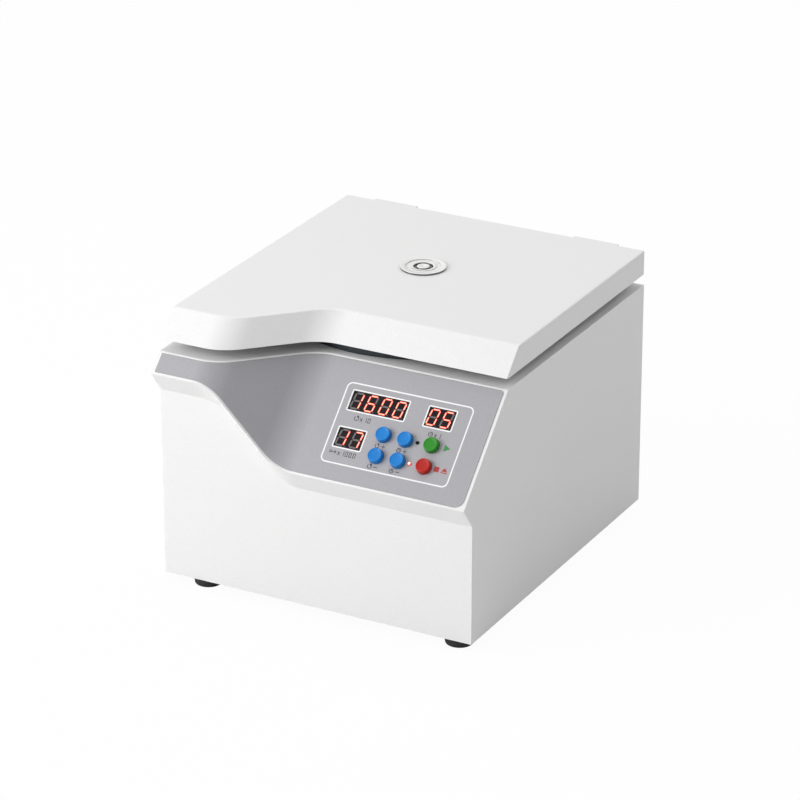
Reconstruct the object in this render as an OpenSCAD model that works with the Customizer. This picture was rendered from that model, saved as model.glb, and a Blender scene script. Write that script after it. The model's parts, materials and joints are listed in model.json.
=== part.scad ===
// Benchtop centrifuge with a slanted control panel, a hinged lid and a fixed-angle rotor.
// X runs to the right, Y to the back, Z up. The origin is on the floor, under the middle of the whole object.

/* [Case] */
// Width of the case
case_w = 290; // [284:1:320]
// Depth of the case behind its front face
case_d = 320; // [317:1:350]
// Height of the deck above the lower edge of the case
case_h = 202; // [198:1:230]
// Thickness of the case and lid sheet
wall = 2; // [1.5:0.1:2.5]
// How far the nose stands out in front of the front face
nose_out = 15; // [11:0.5:18]
// Height of the undercut below the nose
chin_h = 19.5; // [14:0.5:24]
// How far the deck edge steps back on the right
step_d = 62; // [54:1:64]
// Start of the step, to the left of the centre line
jog_x = 91; // [86:1:94]
// Bend radius between the slanted facets
fold_r = 50; // [40:1:56]

/* [Lid] */
// Height of the gap between deck and lid
lid_gap = 10; // [8:0.5:14]
// Height of the lid
lid_h = 21.5; // [19:0.5:26]
// How far the lid's front edge stands behind the deck edge
lid_set = 0.8; // [0.4:0.1:2]
// How far the lid's edge steps back on the right
lid_step_d = 59.6; // [56:0.1:62]
// How far the lid's step starts to the right of the deck's step
lid_jog_in = 4; // [1:0.5:5]
// Thickness of the lid's inner liner
liner_t = 1.5; // [1:0.25:2]
// How far the liner stands up inside the lid's lower edge
liner_up = 0.5; // [0.25:0.25:1.5]
// Radius of the liner screws' bosses
lid_boss_r = 4; // [3.5:0.25:5]
// Distance of the rear liner screws from the case's rear face
lid_boss_back = 14; // [10:1:18]
// Distance of the front liner screws behind the lid's front edge
lid_boss_front = 40; // [32:1:48]
// Distance of the liner screws from the sides
lid_boss_side = 12; // [9:1:16]

/* [Sight glass] */
// Radius of the sight glass flange
sight_r = 19.7; // [18:0.1:22]
// Radius of the sight glass body in the lid
sight_body_r = 16.5; // [14:0.5:17]
// Height of the flange above the lid
sight_rise = 1.6; // [1:0.1:2.5]
// Radius of the dished middle
sight_dish_r = 12; // [9:0.5:13]
// Depth of the dished middle
sight_dish_d = 3; // [2:0.25:4]
// Radius of the button in the middle
sight_nub_r = 3.4; // [2.5:0.1:5]
// Offset of the sight glass to the left of the centre line
sight_left = 3.5; // [0:0.5:6]
// Distance of the sight glass behind the rotor axis
sight_back = 4.5; // [0:0.5:8]

/* [Hinges] */
// Distance of each hinge from the centre line
hinge_x = 97.5; // [80:0.5:110]
// Width of a hinge
hinge_w = 41.5; // [36:0.5:48]
// Thickness of the leaf on the lid
hinge_t = 4.2; // [3.5:0.1:4.6]
// Thickness of the leaf on the case
hinge_low_t = 3; // [2.5:0.1:3.5]
// Height of the leaf on the case
hinge_low_h = 32; // [24:1:40]
// Radius of the hinge barrel
barrel_r = 4.2; // [3.9:0.1:4.4]
// Distance of the hinge axis behind the case
hinge_back = 4.8; // [4.7:0.05:5.2]
// Radius of the hinge pin
pin_r = 2; // [1.5:0.1:2.4]
// Radial clearance of the pin in the turning barrel
pin_fit = 0.06; // [0.02:0.01:0.09]
// Gap between the barrel's sections
barrel_gap = 0.4; // [0.3:0.05:0.6]
// Distance between a leaf's two screws
hinge_pitch = 26; // [20:1:28]
// Radius of the hinge screws
hinge_screw_r = 2; // [1.5:0.1:2.5]

/* [Chamber] */
// Thickness of the bowl's steel
bowl_t = 1.2; // [0.8:0.1:1.5]
// Corner radius at the bowl's floor
bowl_fillet = 14; // [8:1:20]
// Deck left free between the step's edge and the chamber seal
seal_front = 8; // [7:0.5:12]
// Deck left free behind the chamber seal
seal_back = 6; // [4:0.5:10]
// Radial width of the chamber seal
seal_w = 9; // [6:0.5:11]
// Clearance above the seal
seal_gap = 0.3; // [0.2:0.05:0.5]
// Deck left free between the seal and the chamber
bowl_lip = 7; // [5:0.5:9]
// Distance of the guard ring outside the chamber
guard_gap = 4; // [2.5:0.5:6]
// Thickness of the guard ring
guard_t = 6; // [4:0.5:7]
// Height of the chamber plate's underside above the case's lower edge
plate_z = 102; // [100:1:108]
// Thickness of the chamber plate
plate_t = 3; // [2:0.5:5]
// How far the chamber plate stands out beyond the guard ring
plate_rim = 4; // [2:0.5:8]
// Distance of the posts from the chamber plate's sides
post_side = 12; // [8:1:14]
// Distance of the posts from the chamber plate's front and rear edges
post_end = 28; // [24:1:32]
// Radius of the posts
post_r = 5; // [4:0.5:6]
// Radius of the spindle's hole in the chamber floor
spindle_hole_r = 16; // [14:0.5:19]

/* [Drive] */
// Height of the rubber dampers
damper_h = 12; // [10:0.5:15]
// Radius of the rubber dampers
damper_r = 9; // [7:0.5:10]
// Half the distance between the dampers
damper_pos = 49; // [48:0.5:54]
// Thickness of the motor plate
motor_plate_t = 4; // [3:0.5:6]
// Half the side of the motor plate
motor_plate_half = 60; // [59:0.5:64]
// Radius of the motor
motor_r = 42; // [38:0.5:43]
// Radius of the motor's flange
motor_flange_r = 52; // [51:0.5:54]
// Thickness of the motor's flange
motor_flange_t = 4; // [3:0.5:6]
// Thickness of the motor's end caps
cap_t = 8; // [7:0.5:10]
// Length of the motor housing between its caps
housing_h = 60; // [50:1:62]
// Wall of the motor housing
housing_wall = 6; // [4:0.5:7]
// Inner radius of the stator
stator_r = 24; // [20:0.5:27]
// Air gap between stator and magnet rotor
air_gap = 0.6; // [0.4:0.1:1]
// Length of the stator and the magnet rotor
stator_h = 44; // [36:1:46]
// Radius of the shaft
shaft_r = 7; // [6:0.25:8]
// Radial clearance of the shaft in its bearings
shaft_fit = 0.05; // [0.02:0.01:0.09]
// Outer radius of the bearings
bearing_r = 16; // [14:0.5:18]
// Width of the bearings
bearing_w = 6; // [4:0.5:6]

/* [Rotor] */
// Height of the rotor above the chamber floor
rotor_lift = 8; // [6:0.5:12]
// Outer radius of the rotor
rotor_r = 72; // [71:0.5:80]
// Height of the rotor
rotor_h = 46; // [46:0.5:50]
// Radius of the rotor's hub
hub_r = 18; // [15:0.5:20]
// Height of the rotor's hub
hub_h = 30; // [24:0.5:34]
// Number of tube wells
wells = 12; // [8:1:12]
// Radius of a tube well
well_r = 5.6; // [5:0.1:5.8]
// Depth of a tube well along its axis
well_depth = 31; // [26:0.5:31]
// Distance of a well's mouth from the rotor axis
well_mouth = 40; // [39:0.25:41]
// Radius of the rotor nut
nut_r = 15; // [12:0.5:17]
// Height of the rotor nut
nut_h = 14; // [11:0.5:16]

/* [Control panel] */
// Thickness of the grey fascia
fascia_t = 0.5; // [0.3:0.05:0.8]
// Margin between the fascia and the sides of the case
fascia_side = 3; // [2:0.25:5]
// Margin between the fascia and the deck edge, along the slope
fascia_top = 1.5; // [1:0.25:4]
// Margin between the fascia and the nose, along the slope
fascia_low = 2; // [1:0.25:4]
// Corner radius of the fascia at its upper right corner
fascia_r_top = 3; // [2:0.5:6]
// Corner radius of the fascia at its lower right corner
fascia_r_low = 8; // [4:0.5:10]
// Height of the digit displays, along the slope
display_h = 17.6; // [16:0.2:18.4]
// Width of the four-digit display
speed_w = 52; // [46:0.5:54]
// Width of the two-digit displays
pair_w = 25; // [22:0.5:26]
// Left edge of the speed display
speed_x = 14.2; // [12:0.2:16]
// Left edge of the g-force display
force_x = 13.6; // [12:0.2:15]
// Left edge of the time display
time_x = 84.3; // [82:0.2:86]
// Upper edge of the top displays below the deck edge
display_row_1 = 27.4; // [25:0.2:29]
// Upper edge of the lower display below the deck edge
display_row_2 = 60.5; // [58:0.1:62]
// Radius of the keys
key_r = 6.3; // [6:0.1:7.2]
// Height of the keys above the fascia
key_h = 4.6; // [3.5:0.1:6]
// Travel of the keys
key_travel = 0.8; // [0.4:0.1:1]
// Clearance round the keys
key_gap = 0.3; // [0.2:0.05:0.5]
// Centre of the first column of keys
key_x1 = 54.6; // [54:0.1:55.5]
// Centre of the second column of keys
key_x2 = 74.5; // [74:0.1:75.5]
// Centre of the third column of keys
key_x3 = 98.5; // [97.5:0.1:99.5]
// Centre of the upper row of keys below the deck edge
key_row_1 = 60.4; // [60:0.1:61]
// Centre of the lower row of keys below the deck edge
key_row_2 = 79.3; // [79:0.1:80]
// Radius of the indicator lamps
lamp_r = 1.5; // [1.2:0.1:2]
// Centre of the indicator lamps
lamp_x = 85.1; // [84.6:0.1:86]
// Distance of the control board behind the case's inner face
board_back = 8.4; // [8:0.2:12]
// Thickness of the circuit boards
board_t = 1.6; // [1.2:0.1:2]

/* [Lid lock] */
// Distance of the lock's slot from the side of the case
lock_side = 33; // [29:1:37]
// Centre of the lock's slot behind the front face
lock_y = 48; // [44:1:52]
// Width of the striker blade
blade_w = 14; // [13:0.5:16]
// Thickness of the striker blade
blade_t = 3; // [2:0.25:3.5]
// Clearance across the blade in the slot
slot_side = 1.5; // [1:0.25:2]
// Clearance along the blade in the slot
slot_end = 4; // [3:0.5:5]
// Height of the lock body
lock_h = 26; // [24:1:30]
// Depth of the lock body
lock_d = 26; // [26:1:30]
// Radius of the lock bolt
bolt_r = 4; // [3:0.25:4.5]
// Travel of the lock bolt
bolt_travel = 10; // [9:0.5:10]

/* [Base and rear] */
// Height of the feet below the case
foot_h = 9; // [7:0.5:14]
// Radius of the feet
foot_r = 12.6; // [11:0.2:14]
// Distance of the left feet from the left side
foot_left = 33; // [19:1:37]
// Distance of the right feet from the right side
foot_right = 19; // [17:1:35]
// Centre of the front feet behind the front face
foot_front = 16; // [15:1:24]
// Centre of the rear feet from the case's rear face
foot_back = 47; // [30:1:50]
// Thickness of the base plate
base_t = 2.5; // [2:0.25:3.5]
// How far the base plate shows below the case
base_drop = 1; // [0.5:0.25:1.5]
// Clearance of the base plate and the rear panel in the case
panel_gap = 0.3; // [0.2:0.05:0.5]
// Thickness of the rear panel
rear_t = 2; // [1.5:0.25:2.5]
// Side of the fixing lugs inside the case
lug = 12; // [10:0.5:13]
// Radius of the small case screws
screw_r = 1.5; // [1.2:0.1:2]
// Side of the fan
fan_side = 60; // [56:1:62]
// Depth of the fan
fan_depth = 15; // [13:0.5:17]
// Distance of the fan's centre from the side of the case
fan_in = 53; // [51:1:57]
// Height of the centre of the rear fittings above the case's lower edge
rear_row = 48; // [46:1:54]
// Number of fan blades
fan_blades = 7; // [5:2:9]
// Distance of the mains inlet's centre from the side of the case
inlet_in = 47; // [43:1:51]
// Distance between the mains inlet and the power switch
switch_pitch = 52; // [46:1:58]
// Tilt of the rocker to either side
rocker_tilt = 10; // [8:1:11]
// Width of the vent slots
vent_w = 4; // [3:0.5:5]
// Pitch of the vent slots
vent_pitch = 9; // [8:0.5:12]
// Number of vent slots
vent_count = 8; // [4:1:8]
// Height of the vent slots
vent_h = 50; // [30:1:60]

/* [Drive board] */
// Height of the board posts
board_post_h = 8; // [6:0.5:10]
// Gap between the motor plate and the drive board
drive_in = 4; // [3:0.5:6]
// Gap between the drive board and the fixing lugs
drive_side = 7; // [4:0.5:10]
// Gap between the drive board's ends and the posts
drive_end = 5; // [3:0.5:8]

/* [Hidden] */

$fn = 64;
slope = 45;
far = 1000;
bend_steps = 10;
display_fit = 0.2;

lid_z = case_h + lid_gap;
lid_top = lid_z + lid_h;
lid_jog = jog_x - lid_jog_in;
chin = -atan(chin_h / nose_out);
hinge_out = hinge_back + barrel_r;
front_y = (nose_out - case_d - hinge_out) / 2;
deck_under = case_h - wall;
seal_r = (case_d - step_d - seal_front - seal_back) / 2;
axis_y = case_d - seal_back - seal_r;
bowl_r = seal_r - seal_w - bowl_lip;
guard_r = bowl_r + guard_gap;
plate_half = guard_r + guard_t + plate_rim;
post_dx = plate_half - post_side;
post_dy = plate_half - post_end;
sight_y = axis_y + sight_back;
lock_x = case_w / 2 - lock_side;
fan_x = case_w / 2 - fan_in;
inlet_x = case_w / 2 - inlet_in;
switch_x = inlet_x - switch_pitch;
base_top = base_t - base_drop;
rear_in = case_d - rear_t;
plate_top = plate_z + plate_t;
bowl_floor = plate_top + bowl_t;
motor_z = base_top + damper_h + motor_plate_t;
housing_z = motor_z + cap_t;
cap_z = housing_z + housing_h;
rotor_z = bowl_floor + rotor_lift;
hinge_z = case_h + lid_gap / 2;
liner_z = lid_z + liner_up;
liner_top = liner_z + liner_t;
board_n = -wall - board_back;
board_z = base_top + board_post_h;
slope_len = (step_d + nose_out) / cos(slope);

light_grey = [0.93, 0.93, 0.93];
steel = [0.72, 0.73, 0.75];
zinc = [0.62, 0.63, 0.65];
dark = [0.08, 0.08, 0.09];
board_green = [0.05, 0.3, 0.14];
key_blue = [0.2, 0.52, 0.86];

// ---- outline functions ----

// Points of a rounded corner on a path that turns from one heading to another
function bend(corner, from, to, r) = let (turn = sign(to - from), reach = r * tan(abs(to - from) / 2),
    centre = corner - reach * [cos(from), sin(from)] + r * turn * [-sin(from), cos(from)])
    [for (i = [0 : bend_steps]) let (a = from + (to - from) * i / bend_steps)
        centre - r * turn * [-sin(a), cos(a)]];

// Section across the folded front: level, down along the step, level again. It is drawn square to lines that rise
// at the angle tilt towards the back, and lies rise above the face that passes height z_left in the front plane.
function folded(tilt, z_left, jog, step, rise) = let (fall = atan(cos(tilt)), high = z_left * cos(tilt) + rise,
    low = high - step * cos(tilt), x1 = rise * tan(fall / 2) - jog)
    concat([[-far, high]], bend([x1, high], 0, -fall, fold_r + rise),
        bend([x1 + step, low], -fall, 0, fold_r - rise), [[far, low]]);

// ---- shared shapes ----

module at_case() translate([0, front_y, foot_h]) children();
module at_axis() translate([0, axis_y, 0]) children();
// Local frame of the control panel: X to the right, Y up the slope from the deck edge, Z out of the panel
module on_slope() translate([0, step_d, case_h]) rotate([slope, 0, 0]) children();
module facing_back() rotate([-90, 0, 0]) children();
module cyl(r, z1, z2) translate([0, 0, z1]) cylinder(r = r, h = z2 - z1);
module tube(outer, inner, z1, z2) difference() { cyl(outer, z1, z2); cyl(inner, z1 - 1, z2 + 1); }
module slab(x1, x2, y1, y2, z1, z2) translate([x1, y1, z1]) cube([x2 - x1, y2 - y1, z2 - z1]);
module screw(r, length, head_h) { cyl(r, -length, 0); cyl(1.9 * r, 0, head_h); }
module four(dx, dy) for (x = [-dx, dx], y = [-dy, dy]) translate([x, y, 0]) children();

module rounded(w, h, r) {
    for (x = [r, w - r], y = [r, h - r]) translate([x, y]) circle(r);
    translate([r, 0]) square([w - 2 * r, h]);
    translate([0, r]) square([w, h - 2 * r]);
}

// Everything below (side -1) or above (side 1) a folded face
module ruled(tilt, z_left, jog, step, rise, side) rotate([90 + tilt, 0, 0]) linear_extrude(4 * far, center = true)
    polygon(concat(folded(tilt, z_left, jog, step, rise), [[far, side * far], [-far, side * far]]));

module case_form(inset, open) intersection() {
    ruled(slope, case_h, jog_x, step_d, -inset, -1);
    union() {
        slab(inset - case_w / 2, case_w / 2 - inset, inset, case_d + open, -open, case_h - inset);
        intersection() {
            ruled(chin, case_h - nose_out - chin_h, jog_x, step_d, inset, 1);
            slab(inset - case_w / 2, case_w / 2 - inset, -2 * nose_out, 2 * wall, 0, case_h - inset);
        }
    }
}

module lid_form(inset, open) intersection() {
    ruled(slope, lid_z - lid_set, lid_jog, lid_step_d, -inset, -1);
    slab(inset - case_w / 2, case_w / 2 - inset, -far, case_d - inset, lid_z - open, lid_top - inset);
}

// ---- placings that several pieces share ----

lug_x = case_w / 2 - wall - lug / 2;
lug_rows = [base_top + lug, plate_z - lug, deck_under - 2 * lug];
lug_depths = [4 * lug, case_d / 2, case_d - 5 * lug];
key_places = [[key_x1, key_row_1], [key_x1, key_row_2], [key_x2, key_row_1], [key_x2, key_row_2],
    [key_x3, key_row_1], [key_x3, key_row_2]];
foot_places = [for (x = [foot_left - case_w / 2, case_w / 2 - foot_right], y = [foot_front, case_d - foot_back])
    [x, y]];
boss_x = case_w / 2 - lid_boss_side;
boss_places = [[-boss_x, lid_boss_front], [boss_x, step_d + lid_boss_front],
    [-boss_x, case_d - lid_boss_back], [boss_x, case_d - lid_boss_back]];
board_x1 = 5;
board_x2 = key_x3 + 28;
board_s1 = display_row_1 - 8;
board_s2 = key_row_2 + 14;
board_post_places = [[board_x1 + 4, board_s1 + 3], [board_x2 - 4, board_s1 + 3],
    [board_x1 + 4, board_s2 - 3], [board_x2 - 4, board_s2 - 3]];

module at_keys() for (p = key_places) translate([p[0], -p[1], 0]) children();
module at_feet() for (p = foot_places) translate([p[0], p[1], 0]) children();
module at_bosses() for (p = boss_places) translate([p[0], p[1], 0]) children();
module at_rear_lugs() for (x = [-lug_x, lug_x], z = lug_rows) translate([x, rear_in, z]) children();
module at_base_lugs() for (x = [-lug_x, lug_x], y = lug_depths) translate([x, y, base_top]) children();
module at_board_posts() for (p = board_post_places) translate([p[0], -p[1], 0]) children();
module display_block(x, row, w, grow, n1, n2)
    slab(x - grow, x + w + grow, -row - display_h - grow, -row + grow, n1, n2);

module panel_holes(n1, n2) {
    display_block(speed_x, display_row_1, speed_w, display_fit, n1, n2);
    display_block(time_x, display_row_1, pair_w, display_fit, n1, n2);
    display_block(force_x, display_row_2, pair_w, display_fit, n1, n2);
    at_keys() cyl(key_r + key_gap, n1, n2);
    for (s = [key_row_1, key_row_2]) translate([lamp_x, -s, 0]) cyl(lamp_r, n1, n2);
}

// ---- case ----

// The case is one welded sheet body, in plates that meet face to face
module case_sides() color(light_grey) at_case() difference() {
    union() {
        intersection() {
            case_form(0, 0);
            union() for (x = [-case_w / 2, case_w / 2 - wall]) slab(x, x + wall, -far, far, -1, far);
        }
        intersection() {
            case_form(wall / 2, 0);
            union() {
                at_rear_lugs() slab(-lug / 2 - wall / 2, lug / 2 + wall / 2, -lug, 0, -lug / 2, lug / 2);
                at_base_lugs() slab(-lug / 2 - wall / 2, lug / 2 + wall / 2, -lug / 2, lug / 2, 0, lug);
            }
        }
    }
    at_rear_lugs() facing_back() cyl(screw_r, -lug - 1, 1);
    at_base_lugs() cyl(screw_r, -1, lug + 1);
}

module case_front() color(light_grey) at_case() difference() {
    between_sides(-far, far, -1, deck_under) case_form(0, 0);
    case_form(wall, 5);
    on_slope() panel_holes(-2 * wall, wall);
}

module case_deck_front() color(light_grey) at_case() deck(-far, axis_y);
module case_deck_rear() color(light_grey) at_case() deck(axis_y, far);

module between_sides(y1, y2, z1, z2) intersection() {
    children();
    slab(wall - case_w / 2, case_w / 2 - wall, y1, y2, z1, z2);
}

module deck(y1, y2) difference() {
    between_sides(y1, y2, deck_under, far) case_form(0, 0);
    at_axis() cyl(bowl_r, deck_under - 1, case_h + 1);
    lock_slot(deck_under - 1, case_h + 1);
}

module lock_slot(z1, z2) slab(-lock_x - blade_t / 2 - slot_side, -lock_x + blade_t / 2 + slot_side,
    lock_y - blade_w / 2 - slot_end, lock_y + blade_w / 2 + slot_end, z1, z2);

module rear_panel() color(light_grey) at_case() difference() {
    slab(wall + panel_gap - case_w / 2, case_w / 2 - wall - panel_gap, rear_in, case_d,
        base_top, deck_under - panel_gap);
    at_rear_lugs() facing_back() cyl(screw_r, -1, rear_t + 1);
    translate([-fan_x, rear_in, rear_row]) facing_back() {
        cyl(fan_hole_r, -1, rear_t + 1);
        four(fan_pitch, fan_pitch) cyl(screw_r, -1, rear_t + 1);
    }
    for (i = [0 : vent_count - 1])
        slab(vent_x(i), vent_x(i) + vent_w, rear_in - 1, case_d + 1, vent_z, vent_z + vent_h);
    slab(inlet_x - inlet_w / 2, inlet_x + inlet_w / 2, rear_in - 1, case_d + 1,
        rear_row - inlet_h / 2, rear_row + inlet_h / 2);
    at_inlet_screws() cyl(screw_r, -rear_t - 1, 1);
    slab(switch_x - switch_w / 2, switch_x + switch_w / 2, rear_in - 1, case_d + 1,
        rear_row - switch_h / 2, rear_row + switch_h / 2);
    at_low_hinge_screws() facing_back() cyl(hinge_screw_r, -rear_t - 1, 1);
}

fan_hole_r = fan_side / 2 - 1.8;
fan_pitch = fan_side / 2 - 5;
vent_z = plate_top + 4;
function vent_x(i) = (i - (vent_count - 1) / 2) * vent_pitch - vent_w / 2;

module base_plate() color(zinc) at_case() difference() {
    slab(wall + panel_gap - case_w / 2, case_w / 2 - wall - panel_gap, wall + panel_gap, case_d,
        -base_drop, base_top);
    at_base_lugs() cyl(screw_r, -base_t - 1, 1);
    at_feet() cyl(foot_screw_r, -base_drop - 1, base_top + 1);
    at_axis() four(damper_pos, damper_pos) cyl(damper_screw_r, -base_drop - 1, base_top + 1);
    for (i = [0 : vent_count - 1])
        slab(vent_x(i), vent_x(i) + vent_w, base_vent_y, base_vent_y + vent_h, -base_drop - 1, base_top + 1);
}

base_vent_y = axis_y - motor_plate_half - vent_h - 8;
foot_screw_r = 2;
foot_well_r = 5;
foot_well_d = 4.5;
foot_floor = base_drop - foot_h;

module rubber_feet() color(dark) at_case() at_feet() difference() {
    translate([0, 0, -foot_h]) rotate_extrude() polygon([[0, 0], [foot_r - 2, 0], [foot_r - 0.6, 0.6],
        [foot_r, 2.4], [foot_r, foot_h - base_drop], [0, foot_h - base_drop]]);
    cyl(foot_well_r, -foot_h - 1, foot_well_d - foot_h);
    cyl(foot_screw_r, -foot_h, 0);
}

module foot_screws() at_feet() {
    cyl(foot_screw_r, foot_well_d - foot_h, base_top + 2);
    cyl(foot_well_r - 1, foot_well_d - foot_h - 2, foot_well_d - foot_h);
}

module base_screws() at_base_lugs() translate([0, 0, -base_t]) rotate([180, 0, 0])
    screw(screw_r, lug, 2);

module rear_screws() {
    at_rear_lugs() translate([0, rear_t, 0]) facing_back() screw(screw_r, lug, 1.6);
    translate([-fan_x, case_d, rear_row]) facing_back() four(fan_pitch, fan_pitch)
        screw(screw_r, rear_t + fan_depth, 1.6);
    at_inlet_screws() translate([0, 0, inlet_flange_t]) screw(screw_r, inlet_flange_t + rear_t + 3, 1.6);
}

module case_screws() color(zinc) at_case() {
    foot_screws();
    base_screws();
    rear_screws();
}

// ---- control panel ----

module control_fascia() color([0.7, 0.7, 0.71]) at_case() difference() {
    intersection() {
        difference() {
            ruled(slope, case_h, jog_x, step_d, fascia_t, -1);
            ruled(slope, case_h, jog_x, step_d, 0, -1);
        }
        slab(fascia_side - case_w / 2, case_w / 2 - fascia_side, fascia_low * cos(slope) - nose_out, step_d,
            0, case_h - fascia_top * sin(slope));
    }
    on_slope() {
        panel_holes(-1, 2 * fascia_t);
        translate([case_w / 2 - fascia_side, -fascia_top, 0]) corner(fascia_r_top);
        translate([case_w / 2 - fascia_side, fascia_low - slope_len, 0]) mirror([0, 1, 0]) corner(fascia_r_low);
    }
}

// What a rounded corner takes off a sheet whose corner is at the origin
module corner(r) difference() {
    slab(-r, 1, -r, 1, -1, 1);
    translate([-r, -r, 0]) cyl(r, -2, 2);
}

module display(x, row, w) at_case() on_slope() display_block(x, row, w, 0, board_n, fascia_t - 0.2);
module speed_display() color(dark) display(speed_x, display_row_1, speed_w);
module time_display() color(dark) display(time_x, display_row_1, pair_w);
module force_display() color(dark) display(force_x, display_row_2, pair_w);

module lamp(row) at_case() on_slope() translate([lamp_x, -row, 0]) {
    cyl(lamp_r, board_n, fascia_t + 0.3);
    translate([0, 0, fascia_t + 0.3]) difference() {
        sphere(lamp_r);
        cyl(2 * lamp_r, -2 * lamp_r, 0);
    }
}
module run_lamp() color([0.1, 0.1, 0.1]) lamp(key_row_1);
module stop_lamp() color([0.9, 0.15, 0.1]) lamp(key_row_2);

key_flange_t = 1.2;
key_stem_r = 1.75;
stem_fit = 0.08;
switch_rise = 3.4;
switch_side = 12;
key_rest = key_travel + 0.2;

module key(x, row) at_case() on_slope() translate([x, -row, 0]) {
    rotate_extrude() polygon([[0, -wall - 0.4], [key_r, -wall - 0.4], [key_r, fascia_t + key_h - 0.9],
        [key_r - 0.9, fascia_t + key_h], [0, fascia_t + key_h - 0.3]]);
    cyl(key_r + 1.1, -wall - 0.4 - key_flange_t, -wall - 0.4);
    cyl(key_stem_r, board_n + key_rest, -wall - 0.4);
}
module speed_up_key() color(key_blue) key(key_x1, key_row_1);
module speed_down_key() color(key_blue) key(key_x1, key_row_2);
module time_up_key() color(key_blue) key(key_x2, key_row_1);
module time_down_key() color(key_blue) key(key_x2, key_row_2);
module start_key() color([0.2, 0.62, 0.2]) key(key_x3, key_row_1);
module stop_key() color([0.78, 0.2, 0.17]) key(key_x3, key_row_2);

module key_switches() color(dark) at_case() on_slope() at_keys() difference() {
    slab(-switch_side / 2, switch_side / 2, -switch_side / 2, switch_side / 2, board_n, board_n + switch_rise);
    cyl(key_stem_r + stem_fit, board_n - 1, board_n + switch_rise + 1);
}

module control_board() color(board_green) at_case() on_slope() difference() {
    slab(board_x1, board_x2, -board_s2, -board_s1, board_n - board_t, board_n);
    at_board_posts() cyl(screw_r, board_n - board_t - 1, board_n + 1);
}

module control_board_posts() color(zinc) at_case() on_slope() at_board_posts() {
    cyl(2 * screw_r, board_n, -wall);
    cyl(screw_r, board_n - board_t, board_n);
    cyl(1.9 * screw_r, board_n - board_t - 2, board_n - board_t);
}

// ---- chamber ----

module chamber_seal() color(dark) at_case() at_axis() rotate_extrude() polygon([[seal_r - seal_w, case_h],
    [seal_r, case_h], [seal_r, liner_z - seal_gap - 1], [seal_r - 1, liner_z - seal_gap],
    [seal_r - seal_w + 4, liner_z - seal_gap], [seal_r - seal_w + 3, case_h + 3], [seal_r - seal_w, case_h + 3]]);

module chamber_bowl() color(steel) at_case() at_axis() rotate_extrude() polygon(concat(
    [[spindle_hole_r, plate_top]], bowl_corner(bowl_fillet + bowl_t, plate_top, bowl_r + bowl_t),
    [[bowl_r + bowl_t, deck_under - bowl_t], [guard_r + guard_t, deck_under - bowl_t],
        [guard_r + guard_t, deck_under], [bowl_r, deck_under]],
    reversed(bowl_corner(bowl_fillet, bowl_floor, bowl_r)), [[spindle_hole_r, bowl_floor]]));

function bowl_corner(r, z, edge) = [for (i = [0 : bend_steps]) let (a = 90 * i / bend_steps - 90)
    [edge - r + r * cos(a), z + r + r * sin(a)]];
function reversed(points) = [for (i = [len(points) - 1 : -1 : 0]) points[i]];

module guard_ring() color(zinc) at_case() at_axis()
    tube(guard_r + guard_t, guard_r, plate_top, deck_under - bowl_t);

module chamber_plate() color(zinc) at_case() at_axis() difference() {
    slab(-plate_half, plate_half, -plate_half, plate_half, plate_z, plate_top);
    cyl(spindle_hole_r, plate_z - 1, plate_top + 1);
    four(post_dx, post_dy) cyl(post_screw_r, plate_z - 1, plate_top + 1);
}

post_screw_r = 2.5;
post_thread = 12;

module chamber_posts() color(zinc) at_case() at_axis() four(post_dx, post_dy) difference() {
    cyl(post_r, base_top, plate_z);
    cyl(post_screw_r, plate_z - post_thread, plate_z + 1);
}

module post_screws() four(post_dx, post_dy) translate([0, 0, plate_top])
    screw(post_screw_r, plate_t + post_thread, 3);

module spindle_boot() color(dark) at_case() at_axis() {
    tube(spindle_hole_r, shaft_r + 2.5, plate_z, bowl_floor + 1.5);
    tube(spindle_hole_r + 4, shaft_r + 2.5, plate_z - 2.5, plate_z);
}

// ---- drive ----

damper_screw_r = 3;
motor_bolt_r = 2;
motor_bolt_pcr = (motor_r + motor_flange_r) / 2;
bearing_low_z = motor_z + 1.5;
bearing_high_z = cap_z + 1.5;
stator_z = housing_z + (housing_h - stator_h) / 2;
shaft_top = rotor_z + hub_h;
stub_r = 4;

module motor_plate() color(zinc) at_case() at_axis() difference() {
    slab(-motor_plate_half, motor_plate_half, -motor_plate_half, motor_plate_half,
        base_top + damper_h, motor_z);
    four(damper_pos, damper_pos) cyl(damper_screw_r, base_top, motor_z + 1);
    at_motor_bolts() cyl(motor_bolt_r, base_top, motor_z + 1);
}

module at_motor_bolts() for (a = [0 : 90 : 270]) rotate([0, 0, a]) translate([motor_bolt_pcr, 0, 0]) children();

module motor_dampers() color(dark) at_case() at_axis() four(damper_pos, damper_pos)
    tube(damper_r, damper_screw_r, base_top, base_top + damper_h);

module damper_screws() {
    four(damper_pos, damper_pos) translate([0, 0, motor_z])
        screw(damper_screw_r, motor_plate_t + damper_h + base_t, 3);
    at_motor_bolts() translate([0, 0, motor_z + motor_flange_t])
        screw(motor_bolt_r, motor_plate_t + motor_flange_t, 2.5);
}

module frame_screws() color(steel) at_case() at_axis() {
    post_screws();
    damper_screws();
}

module motor_bottom_cap() color(steel) at_case() at_axis() difference() {
    union() {
        cyl(motor_flange_r, motor_z, motor_z + motor_flange_t);
        cyl(motor_r, motor_z, housing_z);
    }
    cyl(bearing_r, bearing_low_z, housing_z + 1);
    at_motor_bolts() cyl(motor_bolt_r, motor_z - 1, motor_z + motor_flange_t + 1);
}

module motor_housing() color(steel) at_case() at_axis() tube(motor_r, motor_r - housing_wall, housing_z, cap_z);

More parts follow.
